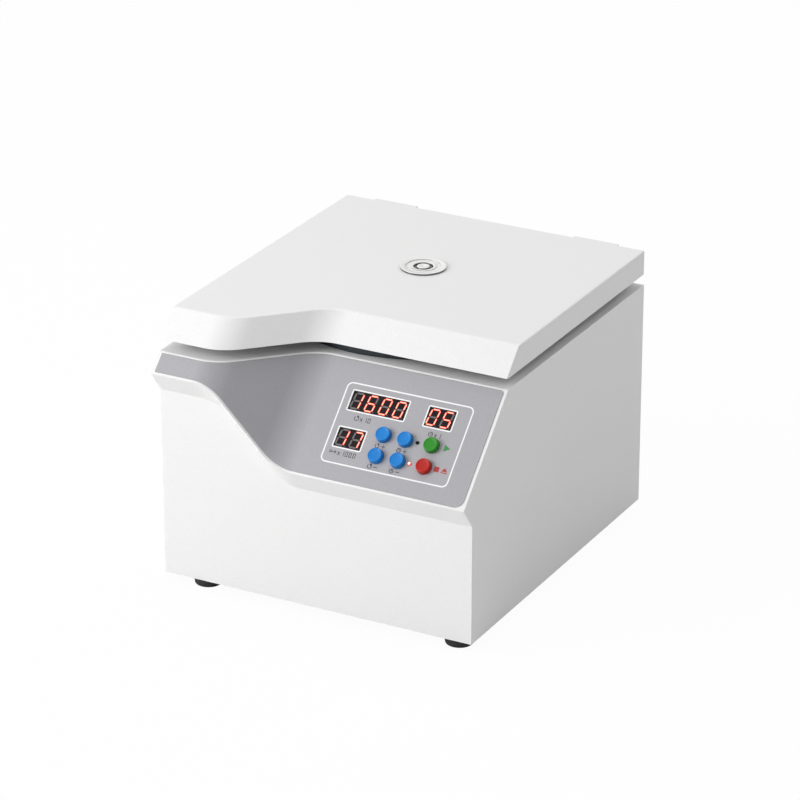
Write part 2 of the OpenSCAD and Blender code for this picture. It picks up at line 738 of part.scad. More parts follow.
module motor_top_cap() color(steel) at_case() at_axis() difference() {
    cyl(motor_r, cap_z, cap_z + cap_t);
    cyl(bearing_r, bearing_high_z, cap_z + cap_t + 1);
    cyl(shaft_r + 3, cap_z - 1, cap_z + cap_t);
}

module motor_bearings() color(steel) at_case() at_axis() for (z = [bearing_low_z, bearing_high_z])
    tube(bearing_r, shaft_r + shaft_fit, z, z + bearing_w);

module motor_stator() color([0.55, 0.3, 0.16]) at_case() at_axis()
    tube(motor_r - housing_wall, stator_r, stator_z, stator_z + stator_h);

module spindle() color(steel) at_case() at_axis() {
    cyl(shaft_r, bearing_low_z, shaft_top);
    cyl(stub_r, shaft_top, shaft_top + nut_h - 2);
}

module magnet_rotor() color(zinc) at_case() at_axis()
    tube(stator_r - air_gap, shaft_r, stator_z, stator_z + stator_h);

dish_drop = well_mouth - 10;

module angle_rotor() color([0.62, 0.64, 0.68]) at_case() at_axis() translate([0, 0, rotor_z]) difference() {
    rotate_extrude() polygon([[shaft_r, 0], [rotor_r - 8, 0], [rotor_r, 8], [rotor_r, rotor_h - 8],
        [rotor_r - 8, rotor_h], [rotor_h + 10, rotor_h], [hub_r + 8, hub_r - 2], [hub_r, hub_r - 2],
        [hub_r, hub_h], [shaft_r, hub_h]]);
    for (i = [0 : wells - 1]) rotate([0, 0, i * 360 / wells]) translate([well_mouth, 0, dish_drop])
        rotate([0, 135, 0]) cyl(well_r, -well_depth, well_depth);
}

module rotor_nut() color(dark) at_case() at_axis() translate([0, 0, shaft_top]) difference() {
    union() {
        cyl(nut_r, 0, nut_h - 4);
        cyl(nut_r - 4, nut_h - 4, nut_h);
    }
    cyl(stub_r, -1, nut_h - 2);
}

// ---- drive board and cables ----

drive_z = board_z + board_t;
drive_x = motor_plate_half + drive_in;
drive_w = case_w / 2 - wall - lug - drive_side - drive_x;
drive_y = axis_y - post_dy + post_r + drive_end;
drive_l = 2 * (post_dy - post_r - drive_end);
ribbon_x = drive_x + 18;
ribbon_w = 20;
plug_s = board_s2 - 12;
ribbon_y = step_d - plug_s * cos(slope) + (board_t + 6 - board_n) * sin(slope);
ribbon_top = case_h - plug_s * sin(slope) - (board_t + 6 - board_n) * cos(slope);
ribbon_low = drive_z + 10;
filter_top = rear_row + 8;
filter_back = drive_y + drive_l - 2;
filter_l = 40;
filter_in = 12;
sink_x = drive_x + 20;
sink_w = drive_w - 24;
sink_y = drive_y + 60;
fin_t = 2;

module drive_board() color(board_green) at_case() difference() {
    slab(drive_x, drive_x + drive_w, drive_y, drive_y + drive_l, board_z, drive_z);
    at_drive_posts() cyl(screw_r, board_z - 1, drive_z + 1);
}

module at_drive_posts() for (x = [drive_x + 5, drive_x + drive_w - 5], y = [drive_y + 5, drive_y + drive_l - 5])
    translate([x, y, 0]) children();

module drive_parts() color(dark) at_case() {
    at_drive_posts() {
        cyl(2 * screw_r, base_top, board_z);
        cyl(screw_r, board_z, drive_z);
    }
    for (y = [23, 47]) translate([drive_x + drive_w / 2 + 4, drive_y + y, 0]) cyl(11, drive_z, drive_z + 32);
    slab(sink_x, sink_x + sink_w, sink_y, sink_y + 4, drive_z, drive_z + 36);
    for (i = [0 : 3]) translate([sink_x + fin_t + i * (sink_w - 3 * fin_t - 3) / 3, 0, 0])
        slab(0, fin_t, sink_y + 4, sink_y + 22, drive_z, drive_z + 36);
    slab(drive_x + filter_in, drive_x + drive_w - filter_in, filter_back - filter_l, filter_back,
        drive_z, filter_top);
    slab(drive_x, drive_x + 10, axis_y - 8, axis_y + 8, drive_z, housing_z + 10);
    slab(ribbon_x, ribbon_x + ribbon_w, drive_y + 2, drive_y + 8, drive_z, ribbon_low);
}

module cables() color([0.75, 0.75, 0.78]) at_case() {
    on_slope() slab(ribbon_x, ribbon_x + ribbon_w, -plug_s - 4, -plug_s + 4,
        board_n - board_t - 6, board_n - board_t);
    slab(ribbon_x, ribbon_x + ribbon_w, ribbon_y - 0.5, ribbon_y + 0.5, ribbon_low, ribbon_top + 1);
    slab(ribbon_x, ribbon_x + ribbon_w, ribbon_y - 0.5, drive_y + 5, ribbon_low, ribbon_low + 1);
    translate([0, axis_y, housing_z + 5]) rotate([0, 90, 0]) cyl(2.5, motor_r, drive_x);
    translate([inlet_x, 0, rear_row]) facing_back() cyl(3, filter_back, rear_in - inlet_body_d);
}

// ---- lid lock ----

bolt_z = deck_under - lock_h / 2 + 1;
lock_left = 9;
lock_right = 27;
solenoid_l = 22;
bolt_fit = 0.06;
bolt_rest = blade_t / 2 + slot_side + 1;

module along_bolt() translate([-lock_x, lock_y, bolt_z]) rotate([0, 90, 0]) children();

module lock_body() color(zinc) at_case() difference() {
    slab(-lock_x - lock_left, -lock_x + lock_right, lock_y - lock_d / 2, lock_y + lock_d / 2,
        deck_under - lock_h, deck_under);
    lock_slot(deck_under - lock_h - 1, deck_under + 1);
    along_bolt() cyl(bolt_r + bolt_fit, -lock_left - 1, lock_right + 1);
}

module lock_solenoid() color([0.55, 0.3, 0.16]) at_case() along_bolt()
    tube(bolt_r + 7, bolt_r + bolt_fit, lock_right, lock_right + solenoid_l);

module lock_bolt() color(steel) at_case() along_bolt() cyl(bolt_r, bolt_rest, lock_right + solenoid_l - 3);

// ---- rear fittings ----

inlet_w = 28;
inlet_h = 20;
inlet_flange_w = 50;
inlet_flange_t = 2.5;
inlet_body_d = 18;
inlet_pitch = 20;
socket_w = 24;
socket_h = 16.4;
socket_d = 16;
pin_l = 11.5;

module mains_inlet() color(dark) at_case() translate([inlet_x, 0, rear_row]) difference() {
    union() {
        slab(-inlet_w / 2, inlet_w / 2, rear_in - inlet_body_d, case_d, -inlet_h / 2, inlet_h / 2);
        slab(-inlet_flange_w / 2, inlet_flange_w / 2, case_d, case_d + inlet_flange_t,
            -inlet_h / 2 - 2, inlet_h / 2 + 2);
    }
    slab(-socket_w / 2, socket_w / 2, case_d + inlet_flange_t - socket_d, case_d + inlet_flange_t + 1,
        -socket_h / 2, socket_h / 2);
    translate([-inlet_x, 0, -rear_row]) at_inlet_screws() cyl(screw_r, -1, inlet_flange_t + 1);
}

module inlet_pins() color(steel) at_case() translate([inlet_x, case_d + inlet_flange_t - socket_d, rear_row])
    for (p = [[-7, -2], [7, -2], [0, 2]]) slab(p[0] - 1, p[0] + 1, 0, pin_l, p[1] - 2, p[1] + 2);

switch_w = 13;
switch_h = 19.6;
switch_body_d = 14;
rocker_w = 10.4;
rocker_h = 14.8;
rocker_space = 16.8;
rocker_deep = 3.2;

module at_rocker() translate([switch_x, case_d - rocker_deep, rear_row]) children();

module switch_frame() color(dark) at_case() {
    difference() {
        union() {
            slab(switch_x - switch_w / 2, switch_x + switch_w / 2, case_d - switch_body_d, case_d,
                rear_row - switch_h / 2, rear_row + switch_h / 2);
            slab(switch_x - switch_w / 2 - 1, switch_x + switch_w / 2 + 1, case_d, case_d + 1.6,
                rear_row - switch_h / 2 - 1, rear_row + switch_h / 2 + 1);
        }
        slab(switch_x - rocker_w / 2 - 0.2, switch_x + rocker_w / 2 + 0.2, case_d - 8, case_d + 3,
            rear_row - rocker_space / 2, rear_row + rocker_space / 2);
    }
    at_rocker() rotate([0, 90, 0]) cyl(1.2, -rocker_w / 2 - 0.4, rocker_w / 2 + 0.4);
}

module power_rocker() color([0.15, 0.15, 0.15]) at_case() at_rocker() rotate([-rocker_tilt, 0, 0]) difference() {
    rotate([90, 0, 90]) linear_extrude(rocker_w, center = true) polygon([[-2.4, -2], [-2.4, 2], [0, rocker_h / 2],
        [6.4, rocker_h / 2], [4.8, 0], [6.4, -rocker_h / 2], [0, -rocker_h / 2]]);
    rotate([0, 90, 0]) cyl(1.26, -rocker_w, rocker_w);
}

fan_hub_r = fan_side * 0.21;
fan_axle_r = 1.5;
fan_arm_t = 2;

module at_inlet_screws() for (x = [-inlet_pitch, inlet_pitch]) translate([inlet_x + x, case_d, rear_row])
    facing_back() children();
module at_fan() translate([-fan_x, rear_in - fan_depth, rear_row]) facing_back() children();

module fan_frame() color(dark) at_case() at_fan() {
    difference() {
        slab(-fan_side / 2, fan_side / 2, -fan_side / 2, fan_side / 2, 0, fan_depth);
        cyl(fan_hole_r, -1, fan_depth + 1);
        four(fan_pitch, fan_pitch) cyl(screw_r, -1, fan_depth + 1);
    }
    cyl(fan_hub_r, 0, fan_arm_t);
    for (a = [0, 120, 240]) rotate([0, 0, a]) slab(fan_hub_r - 2, fan_hole_r + 1, -1.5, 1.5, 0, fan_arm_t);
    cyl(fan_axle_r, fan_arm_t, fan_depth - 4.5);
    for (r = [fan_hole_r - 6, fan_hole_r - 13]) tube(r, r - 1.4, fan_depth - 1.5, fan_depth);
    for (a = [45, 135]) rotate([0, 0, a]) slab(-fan_hole_r - 1, fan_hole_r + 1, -1, 1, fan_depth - 1.5, fan_depth);
}

module fan_rotor() color([0.12, 0.12, 0.13]) at_case() at_fan() difference() {
    union() {
        cyl(fan_hub_r, fan_arm_t + 0.5, fan_depth - 2.5);
        for (i = [0 : fan_blades - 1]) rotate([0, 0, i * 360 / fan_blades])
            translate([fan_hub_r - 1, 0, fan_depth / 2 - 0.5]) rotate([40, 0, 0])
            slab(0, fan_hole_r - fan_hub_r + 0.2, -5.5, 5.5, -0.6, 0.6);
    }
    cyl(fan_axle_r + 0.05, 0, fan_depth - 4.2);
}

// ---- lid ----

module at_sight() translate([-sight_left, sight_y, 0]) children();

module lid_shell() color(light_grey) at_case() difference() {
    union() {
        difference() {
            lid_form(0, 0);
            lid_form(wall, 5);
        }
        at_bosses() cyl(lid_boss_r, liner_top, lid_top - wall / 2);
    }
    at_bosses() cyl(screw_r, liner_z - 1, lid_top - 2 * wall);
    at_sight() cyl(sight_body_r, lid_z, lid_top + 1);
    at_lid_hinge_screws() facing_back() cyl(hinge_screw_r, -2 * wall, 1);
}

module lid_liner() color([0.85, 0.85, 0.85]) at_case() difference() {
    intersection() {
        lid_form(wall + panel_gap, 5);
        slab(-case_w, case_w, -case_d, 2 * case_d, liner_z, liner_top);
    }
    at_bosses() cyl(screw_r, liner_z - 1, liner_top + 1);
    at_sight() cyl(sight_body_r, liner_z - 1, liner_top + 1);
    at_striker_screws() cyl(screw_r, liner_z - 1, liner_top + 1);
}

striker_t = 2.5;
striker_half = 6;
striker_gap = 0.65;
striker_rim = 3.5;
striker_screw_y = blade_w / 2 + 1.9 * screw_r + striker_gap;
liner_screw_l = 12;

module at_striker_screws() for (y = [-striker_screw_y, striker_screw_y]) translate([-lock_x, lock_y + y, 0])
    children();

module liner_screws() color(zinc) at_case() {
    at_bosses() translate([0, 0, liner_z]) rotate([180, 0, 0]) screw(screw_r, liner_screw_l, 1.4);
    at_striker_screws() translate([0, 0, liner_z - striker_t]) rotate([180, 0, 0])
        screw(screw_r, striker_t + 5, 1.4);
}

module sight_glass() color([0.85, 0.92, 0.95, 0.5]) at_case() at_sight() difference() {
    union() {
        translate([0, 0, lid_top]) rotate_extrude() polygon([[0, 0], [sight_r, 0], [sight_r, sight_rise - 0.6],
            [sight_r - 0.6, sight_rise], [0, sight_rise]]);
        cyl(sight_body_r, liner_z, lid_top);
    }
    difference() {
        cyl(sight_dish_r, lid_top + sight_rise - sight_dish_d, lid_top + sight_rise + 1);
        cyl(sight_nub_r, lid_top, lid_top + sight_rise - 0.4);
        cyl(sight_nub_r, lid_top + sight_rise - 2 * sight_dish_d, lid_top + 0.1);
    }
}

blade_down = lock_h - 4;

module lid_striker() color(steel) at_case() difference() {
    union() {
        slab(-lock_x - striker_half, -lock_x + striker_half, lock_y - striker_screw_y - striker_rim,
            lock_y + striker_screw_y + striker_rim, liner_z - striker_t, liner_z);
        slab(-lock_x - blade_t / 2, -lock_x + blade_t / 2, lock_y - blade_w / 2, lock_y + blade_w / 2,
            deck_under - blade_down, liner_z - striker_t / 2);
    }
    slab(-lock_x - 2 * blade_t, -lock_x + 2 * blade_t, lock_y - bolt_r - 1, lock_y + bolt_r + 1,
        bolt_z - bolt_r - 1, bolt_z + bolt_r + 1);
    at_striker_screws() cyl(screw_r, liner_z - striker_t - 1, liner_z + 1);
}

// ---- hinges ----

barrel_third = hinge_w / 3;
lid_screw_z = lid_z + lid_h * 0.62;
low_screw_z = case_h - hinge_low_h + 9;
module at_hinges() for (x = [-hinge_x, hinge_x]) translate([x, 0, 0]) children();
module at_lid_hinge_screws() at_hinges() for (x = [-hinge_pitch / 2, hinge_pitch / 2])
    translate([x, case_d, lid_screw_z]) children();
module at_low_hinge_screws() at_hinges() for (x = [-hinge_pitch / 2, hinge_pitch / 2])
    translate([x, case_d, low_screw_z]) children();
module barrel(r, x1, x2) translate([0, case_d + hinge_back, hinge_z]) rotate([0, 90, 0]) cyl(r, x1, x2);

module lid_hinge_leaves() color(light_grey) at_case() {
    at_hinges() difference() {
        union() {
            slab(-hinge_w / 2, hinge_w / 2, case_d, case_d + hinge_t, hinge_z + 3, lid_top - 0.6);
            barrel(barrel_r, barrel_gap - barrel_third / 2, barrel_third / 2 - barrel_gap);
        }
        for (side = [0, 1]) mirror([side, 0, 0]) slab(barrel_third / 2 - barrel_gap, hinge_w,
            case_d - 1, case_d + 2 * hinge_back, hinge_z, hinge_z + barrel_r + barrel_gap);
        barrel(pin_r + pin_fit, -hinge_w, hinge_w);
        for (x = [-hinge_pitch / 2, hinge_pitch / 2]) translate([x, case_d, lid_screw_z]) facing_back()
            cyl(hinge_screw_r, -1, hinge_t + 1);
    }
    at_lid_hinge_screws() translate([0, hinge_t, 0]) facing_back() screw(hinge_screw_r, hinge_t + wall + 3, 1.4);
}

module case_hinge_leaves() color(light_grey) at_case() {
    at_hinges() {
        difference() {
            union() {
                slab(-hinge_w / 2, hinge_w / 2, case_d, case_d + hinge_low_t, case_h - hinge_low_h,
                    hinge_z - barrel_r - barrel_gap);
                for (side = [-1, 1]) translate([side * barrel_third, 0, 0]) {
                    barrel(barrel_r, -barrel_third / 2, barrel_third / 2);
                    slab(-barrel_third / 2, barrel_third / 2, case_d + hinge_back - barrel_r, case_d + hinge_low_t,
                        hinge_z - barrel_r - 2, hinge_z);
                }
            }
            for (x = [-hinge_pitch / 2, hinge_pitch / 2]) translate([x, case_d, low_screw_z]) facing_back()
                cyl(hinge_screw_r, -1, hinge_low_t + 1);
        }
        barrel(pin_r, -hinge_w / 2, hinge_w / 2);
    }
    at_low_hinge_screws() translate([0, hinge_low_t, 0]) facing_back()
        screw(hinge_screw_r, hinge_low_t + rear_t + 4, 1.4);
}

case_front();
case_sides();
case_deck_front();
case_deck_rear();
rear_panel();
base_plate();
rubber_feet();
case_screws();
control_fascia();
speed_display();
time_display();
force_display();
run_lamp();
stop_lamp();
speed_up_key();
speed_down_key();
time_up_key();
time_down_key();
start_key();
stop_key();
key_switches();
control_board();
control_board_posts();
chamber_seal();
chamber_bowl();
guard_ring();
chamber_plate();
chamber_posts();
frame_screws();
spindle_boot();
motor_plate();
motor_dampers();
motor_bottom_cap();
motor_housing();
motor_top_cap();
motor_bearings();
motor_stator();
spindle();
magnet_rotor();
angle_rotor();
rotor_nut();
drive_board();
drive_parts();
cables();
lock_body();
lock_solenoid();
lock_bolt();
fan_frame();
fan_rotor();
mains_inlet();
inlet_pins();
switch_frame();
power_rocker();
lid_shell();
lid_liner();
liner_screws();
sight_glass();
lid_striker();
lid_hinge_leaves();
case_hinge_leaves();
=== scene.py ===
import json
import math
import bmesh
import bpy
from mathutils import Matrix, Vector


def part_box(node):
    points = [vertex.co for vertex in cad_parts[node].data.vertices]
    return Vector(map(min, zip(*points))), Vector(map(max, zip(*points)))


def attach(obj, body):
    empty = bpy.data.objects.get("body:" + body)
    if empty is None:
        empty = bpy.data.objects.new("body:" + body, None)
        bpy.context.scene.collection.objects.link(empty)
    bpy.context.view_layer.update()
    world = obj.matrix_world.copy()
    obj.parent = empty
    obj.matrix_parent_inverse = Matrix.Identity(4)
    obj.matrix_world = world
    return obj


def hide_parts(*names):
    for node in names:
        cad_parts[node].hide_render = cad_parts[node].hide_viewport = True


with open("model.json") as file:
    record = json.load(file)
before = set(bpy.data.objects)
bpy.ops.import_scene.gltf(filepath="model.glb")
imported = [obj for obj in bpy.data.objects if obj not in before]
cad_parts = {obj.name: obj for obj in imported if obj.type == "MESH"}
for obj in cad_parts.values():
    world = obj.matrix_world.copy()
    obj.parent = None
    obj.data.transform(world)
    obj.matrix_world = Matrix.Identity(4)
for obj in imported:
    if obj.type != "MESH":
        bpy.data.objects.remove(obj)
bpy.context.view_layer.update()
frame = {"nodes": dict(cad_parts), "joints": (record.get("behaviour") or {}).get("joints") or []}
nodes = frame["nodes"]
mm = 0.001
half = math.sqrt(0.5)
print("frame loaded:", len(nodes), "nodes")

spindleJoint = next(joint for joint in frame["joints"] if joint["name"] == "spindle_spin")
rotorCentre = Vector((*spindleJoint["pos_m"][:2], 0))
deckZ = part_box("chamber_seal")[0].z
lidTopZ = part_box("lid_shell")[1].z
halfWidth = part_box("case_sides")[1].x
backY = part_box("lid_shell")[1].y
caseDepth = 320 * mm
frontY = backY - caseDepth
upAxis = Vector((0, 0, 1))
panelOut = Vector((0, -half, half))
panelDown = Vector((0, -half, -half))
windowLift = 0.3  # the displays' faces above the slope, in mm
windowPrint = windowLift + 0.01
slopeLift = max(panelOut.dot(v.co) for v in nodes["speed_display"].data.vertices) - windowLift * mm
panelStart = Vector((0, deckZ - slopeLift / half, deckZ))


def panelPoint(x, down, out=0):  # millimetres across, down the slope and out of it
    return panelStart + mm * (Vector((x, 0, 0)) + down * panelDown + out * panelOut)


def panelSpan(nodeName):  # left, right, upper and lower edge of a node on the slope, in mm
    points = [v.co - panelStart for v in nodes[nodeName].data.vertices]
    downs = [p.dot(panelDown) / mm for p in points]
    return min(p.x for p in points) / mm, max(p.x for p in points) / mm, min(downs), max(downs)


def newObject(name, data):
    made = bpy.data.objects.new(name, data)
    bpy.context.scene.collection.objects.link(made)
    return made


def feed(tree, made, inputs):  # each input of a node gets a plain value or the output of another node
    for entry, value in inputs.items():
        if isinstance(value, bpy.types.NodeSocket):
            tree.links.new(value, made.inputs[entry])
        else:
            made.inputs[entry].default_value = value
    return made


def nodeOn(tree, kind, inputs):
    return feed(tree, tree.nodes.new(kind), inputs)


def startFinish(name, roughness=0.5, metallic=0.0, specular=0.5):
    made = bpy.data.materials.new(name)
    made.use_nodes = True
    tree = made.node_tree
    shader = tree.nodes["Principled BSDF"]
    feed(tree, shader, {"Roughness": roughness, "Metallic": metallic, "Specular IOR Level": specular})
    return made, tree, shader


def placeOn(tree, stretch=(1, 1, 1), centre=(0, 0, 0)):
    coords = tree.nodes.new("ShaderNodeTexCoord")
    mapping = nodeOn(tree, "ShaderNodeMapping", {"Vector": coords.outputs["Object"], "Location": centre,
                                                 "Scale": [1 / s for s in stretch]})
    mapping.vector_type = "TEXTURE"
    return mapping.outputs["Vector"]


def noiseOn(tree, vector, size, detail=2.0, rough=0.5):  # size of one blotch in metres
    return nodeOn(tree, "ShaderNodeTexNoise", {"Vector": vector, "Scale": 1 / size, "Detail": detail,
                                               "Roughness": rough}).outputs["Fac"]


def rampOn(tree, value, stops):
    ramp = nodeOn(tree, "ShaderNodeValToRGB", {"Fac": value})
    while len(ramp.color_ramp.elements) < len(stops):
        ramp.color_ramp.elements.new(0.5)
    for element, (place, colour) in zip(ramp.color_ramp.elements, stops):
        element.position = place
        element.color = (*colour, 1)
    return ramp.outputs["Color"]


def colourOn(tree, shader, value, stops):
    colour = rampOn(tree, value, stops)
    tree.links.new(colour, shader.inputs["Base Color"])
    return colour


def glowOn(tree, shader, value, stops, glow):
    feed(tree, shader, {"Emission Color": colourOn(tree, shader, value, stops), "Emission Strength": glow})


def rangeOn(tree, value, low, high, fromLow=0.3, fromHigh=0.7):
    return nodeOn(tree, "ShaderNodeMapRange", {"Value": value, "From Min": fromLow, "From Max": fromHigh,
                                               "To Min": low, "To Max": high}).outputs["Result"]


def roughOn(tree, shader, value, low, high):
    tree.links.new(rangeOn(tree, value, low, high), shader.inputs["Roughness"])


def bumpOn(tree, shader, height, depth):
    bump = nodeOn(tree, "ShaderNodeBump", {"Height": height, "Distance": depth})
    tree.links.new(bump.outputs["Normal"], shader.inputs["Normal"])


def lengthOn(tree, vector):
    length = nodeOn(tree, "ShaderNodeVectorMath", {0: vector})
    length.operation = "LENGTH"
    return length.outputs["Value"]


def traitOn(tree, name):  # a value that the mesh carries on its corners or faces
    trait = tree.nodes.new("ShaderNodeAttribute")
    trait.attribute_name = name
    return trait.outputs["Fac"]


def shade(colour, factor):
    return tuple(min(1.0, c * factor) for c in colour)


def grainyFinish(name, colour, roughness=0.5, metallic=0.0, vary=0.04, blotch=0.04, grain=0.0006,
                 depth=0.00003, specular=0.5):
    made, tree, shader = startFinish(name, roughness, metallic, specular)
    vector = placeOn(tree)
    wide = noiseOn(tree, vector, blotch, 3.0)
    colourOn(tree, shader, wide, [(0.35, shade(colour, 1 - vary)), (0.65, shade(colour, 1 + vary))])
    fine = noiseOn(tree, vector, grain)
    bumpOn(tree, shader, fine, depth)
    roughOn(tree, shader, fine, roughness - 0.06, roughness + 0.06)
    return made


def brushedFinish(name, colour, roughness, stretch, size, depth=0.00001):
    made, tree, shader = startFinish(name, roughness, 1.0)
    vector = placeOn(tree, stretch, rotorCentre)
    lines = noiseOn(tree, vector, size, 4.0, 0.6)
    colourOn(tree, shader, lines, [(0.3, shade(colour, 0.86)), (0.7, shade(colour, 1.08))])
    roughOn(tree, shader, lines, roughness - 0.08, roughness + 0.1)
    bumpOn(tree, shader, lines, depth)
    return made


# turned metal: fine rings round the rotor's axis
def turnedFinish(name, colour, roughness, pitch=0.0006):
    made, tree, shader = startFinish(name, roughness, 1.0)
    parts = nodeOn(tree, "ShaderNodeSeparateXYZ", {"Vector": placeOn(tree, centre=rotorCentre)}).outputs
    flat = nodeOn(tree, "ShaderNodeCombineXYZ", {"X": parts["X"], "Y": parts["Y"]})
    both = nodeOn(tree, "ShaderNodeMath", {0: lengthOn(tree, flat.outputs["Vector"]), 1: parts["Z"]})
    noise = tree.nodes.new("ShaderNodeTexNoise")
    noise.noise_dimensions = "1D"
    rings = feed(tree, noise, {"W": both.outputs["Value"], "Scale": 1 / pitch, "Detail": 3.0}).outputs["Fac"]
    colourOn(tree, shader, rings, [(0.3, shade(colour, 0.88)), (0.7, shade(colour, 1.06))])
    roughOn(tree, shader, rings, roughness - 0.06, roughness + 0.1)
    bumpOn(tree, shader, rings, 0.000008)
    return made


paintLook = {"colour": (0.83, 0.83, 0.828), "roughness": 0.33, "grain": 0.0012, "depth": 0.00009, "mottle": 0.03}
fasciaLook = {"colour": (0.388, 0.382, 0.403), "roughness": 0.49, "fleck": 0.0005}
keyLook = {"blueKey": (0.012, 0.205, 0.6), "greenKey": (0.03, 0.26, 0.02), "redKey": (0.46, 0.018, 0.012)}


def powderCoat():
    colour, rough, vary = paintLook["colour"], paintLook["roughness"], paintLook["mottle"]
    made, tree, shader = startFinish("powderCoat", rough)
    peel = noiseOn(tree, placeOn(tree), paintLook["grain"], 3.0, 0.55)
    colourOn(tree, shader, peel, [(0.3, shade(colour, 1 - vary)), (0.7, shade(colour, 1 + vary))])
    bumpOn(tree, shader, peel, paintLook["depth"])
    roughOn(tree, shader, peel, rough - 0.05, rough + 0.08)
    return made


def fasciaFilm():
    colour, rough = fasciaLook["colour"], fasciaLook["roughness"]
    made, tree, shader = startFinish("fasciaFilm", rough, 0.15, 0.4)
    flecks = noiseOn(tree, placeOn(tree), fasciaLook["fleck"], 1.0)
    colourOn(tree, shader, flecks, [(0.35, shade(colour, 0.93)), (0.5, colour), (0.68, shade(colour, 1.08))])
    roughOn(tree, shader, flecks, rough - 0.07, rough + 0.07)
    bumpOn(tree, shader, flecks, 0.00001)
    return made


def smokedWindow():
    made, tree, shader = startFinish("displayFace", 0.3, 0.0, 0.25)
    faint = noiseOn(tree, placeOn(tree), 0.003)
    colourOn(tree, shader, faint, [(0.3, (0.006, 0.003, 0.004)), (0.7, (0.012, 0.006, 0.007))])
    bumpOn(tree, shader, faint, 0.000005)
    return made


def segmentFinish(name, stops, glow):
    made, tree, shader = startFinish(name, 0.35)
    glowOn(tree, shader, traitOn(tree, "ridge"), stops, glow)
    return made


def keyPlastic(name, colour):
    made, tree, shader = startFinish(name, 0.34, 0.0, 0.25)
    vector = placeOn(tree)
    wide, fine = noiseOn(tree, vector, 0.006), noiseOn(tree, vector, 0.0004)
    colourOn(tree, shader, wide, [(0.3, shade(colour, 0.95)), (0.7, shade(colour, 1.05))])
    bumpOn(tree, shader, fine, 0.000008)
    roughOn(tree, shader, fine, 0.3, 0.42)
    return made


def clearAcrylic():  # milky on the flats, with painted shade: the base colour darkens where the mesh marks steep walls and sunken floors
    made, tree, shader = startFinish("clearAcrylic", 0.08)
    feed(tree, shader, {"Transmission Weight": 0.12, "IOR": 1.49})
    # painted shade: the wall value turns the base colour from milky white to dark grey
    colourOn(tree, shader, traitOn(tree, "wall"), [(0.4, (0.96, 0.96, 0.945)), (0.85, (0.13, 0.135, 0.14))])
    roughOn(tree, shader, noiseOn(tree, placeOn(tree), 0.002), 0.05, 0.14)
    return made


def copperCoil():
    made, tree, shader = startFinish("copperCoil", 0.35, 1.0)
    wave = nodeOn(tree, "ShaderNodeTexWave", {"Vector": placeOn(tree), "Scale": 320, "Distortion": 0.6})
    wave.bands_direction = "Z"
    colourOn(tree, shader, wave.outputs["Fac"], [(0.1, (0.28, 0.09, 0.03)), (0.7, (0.72, 0.30, 0.14))])
    bumpOn(tree, shader, wave.outputs["Fac"], 0.0002)
    return made


def circuitBoard():
    made, tree, shader = startFinish("circuitBoard", 0.35)
    tracks = nodeOn(tree, "ShaderNodeTexVoronoi", {"Vector": placeOn(tree), "Scale": 220})
    tracks.distance = "MANHATTAN"
    colourOn(tree, shader, tracks.outputs["Distance"],
             [(0.1, (0.30, 0.26, 0.10)), (0.16, (0.015, 0.12, 0.05)), (0.6, (0.02, 0.16, 0.07))])
    bumpOn(tree, shader, tracks.outputs["Distance"], 0.00003)
    return made


finishes = {
    "paint": powderCoat(),
    "film": fasciaFilm(),
    "window": smokedWindow(),
    "lit": segmentFinish("segmentLit", [(0.0, (0.45, 0.006, 0.03)), (0.35, (0.85, 0.04, 0.05)),
                                        (0.7, (1.0, 0.34, 0.2)), (1.0, (1.0, 0.62, 0.42))], 1.0),
    "unlit": segmentFinish("segmentUnlit", [(0.0, (0.1, 0.09, 0.095)), (1.0, (0.17, 0.155, 0.16))], 0.0),
    **{name: keyPlastic(name, colour) for name, colour in keyLook.items()},
    "acrylic": clearAcrylic(),
    "copper": copperCoil(),
    "board": circuitBoard(),
    "rubber": grainyFinish("blackRubber", (0.018, 0.018, 0.02), 0.62, vary=0.2, blotch=0.01, grain=0.0007),
    "seal": grainyFinish("sealRubber", (0.022, 0.03, 0.036), 0.55, vary=0.15, blotch=0.01, grain=0.0008),
    "blackPlastic": grainyFinish("blackPlastic", (0.02, 0.02, 0.022), 0.45, vary=0.15, blotch=0.02, grain=0.0005),
    "whitePlastic": grainyFinish("whitePlastic", (0.5, 0.5, 0.505), vary=0.02, blotch=0.05),
    "greyPlastic": grainyFinish("greyPlastic", (0.45, 0.45, 0.48), blotch=0.02),
    "zinc": brushedFinish("zincPlate", (0.55, 0.56, 0.58), 0.38, (1, 14, 1), 0.006),
    "steel": brushedFinish("brightSteel", (0.66, 0.67, 0.69), 0.26, (1, 1, 8), 0.002, 0.000002),
    "stainless": turnedFinish("chamberSteel", (0.62, 0.63, 0.64), 0.3, pitch=0.0012),
    "turned": turnedFinish("turnedAluminium", (0.72, 0.73, 0.74), 0.3),
    "anodised": turnedFinish("anodisedRotor", (0.42, 0.44, 0.47), 0.34, pitch=0.0009),
    "magnet": grainyFinish("magnetIron", (0.1, 0.1, 0.105), 0.5, 0.6, vary=0.1, blotch=0.006),
    "brass": grainyFinish("plainBrass", (0.62, 0.44, 0.16), 0.3, 1.0, vary=0.08, blotch=0.004),
    "darkLens": grainyFinish("darkLens", (0.006, 0.006, 0.006), 0.35, vary=0.1, blotch=0.002, specular=0.2),
}
# colour, change of shade and size of one blotch
inkLook = {"whiteInk": ((0.88, 0.88, 0.88), 0.015, 0.01), "darkInk": ((0.02, 0.021, 0.026), 0.1, 0.004),
           "greenInk": ((0.03, 0.25, 0.05), 0.08, 0.004), "redInk": ((0.42, 0.02, 0.02), 0.08, 0.004)}
for name, (colour, vary, blotch) in inkLook.items():
    finishes[name] = grainyFinish(name, colour, vary=vary, blotch=blotch, depth=0.000005)


lampLook = {"radius": 1.5, "spot": 2.2, "glow": 0.9}  # the lens and its bright spot in mm


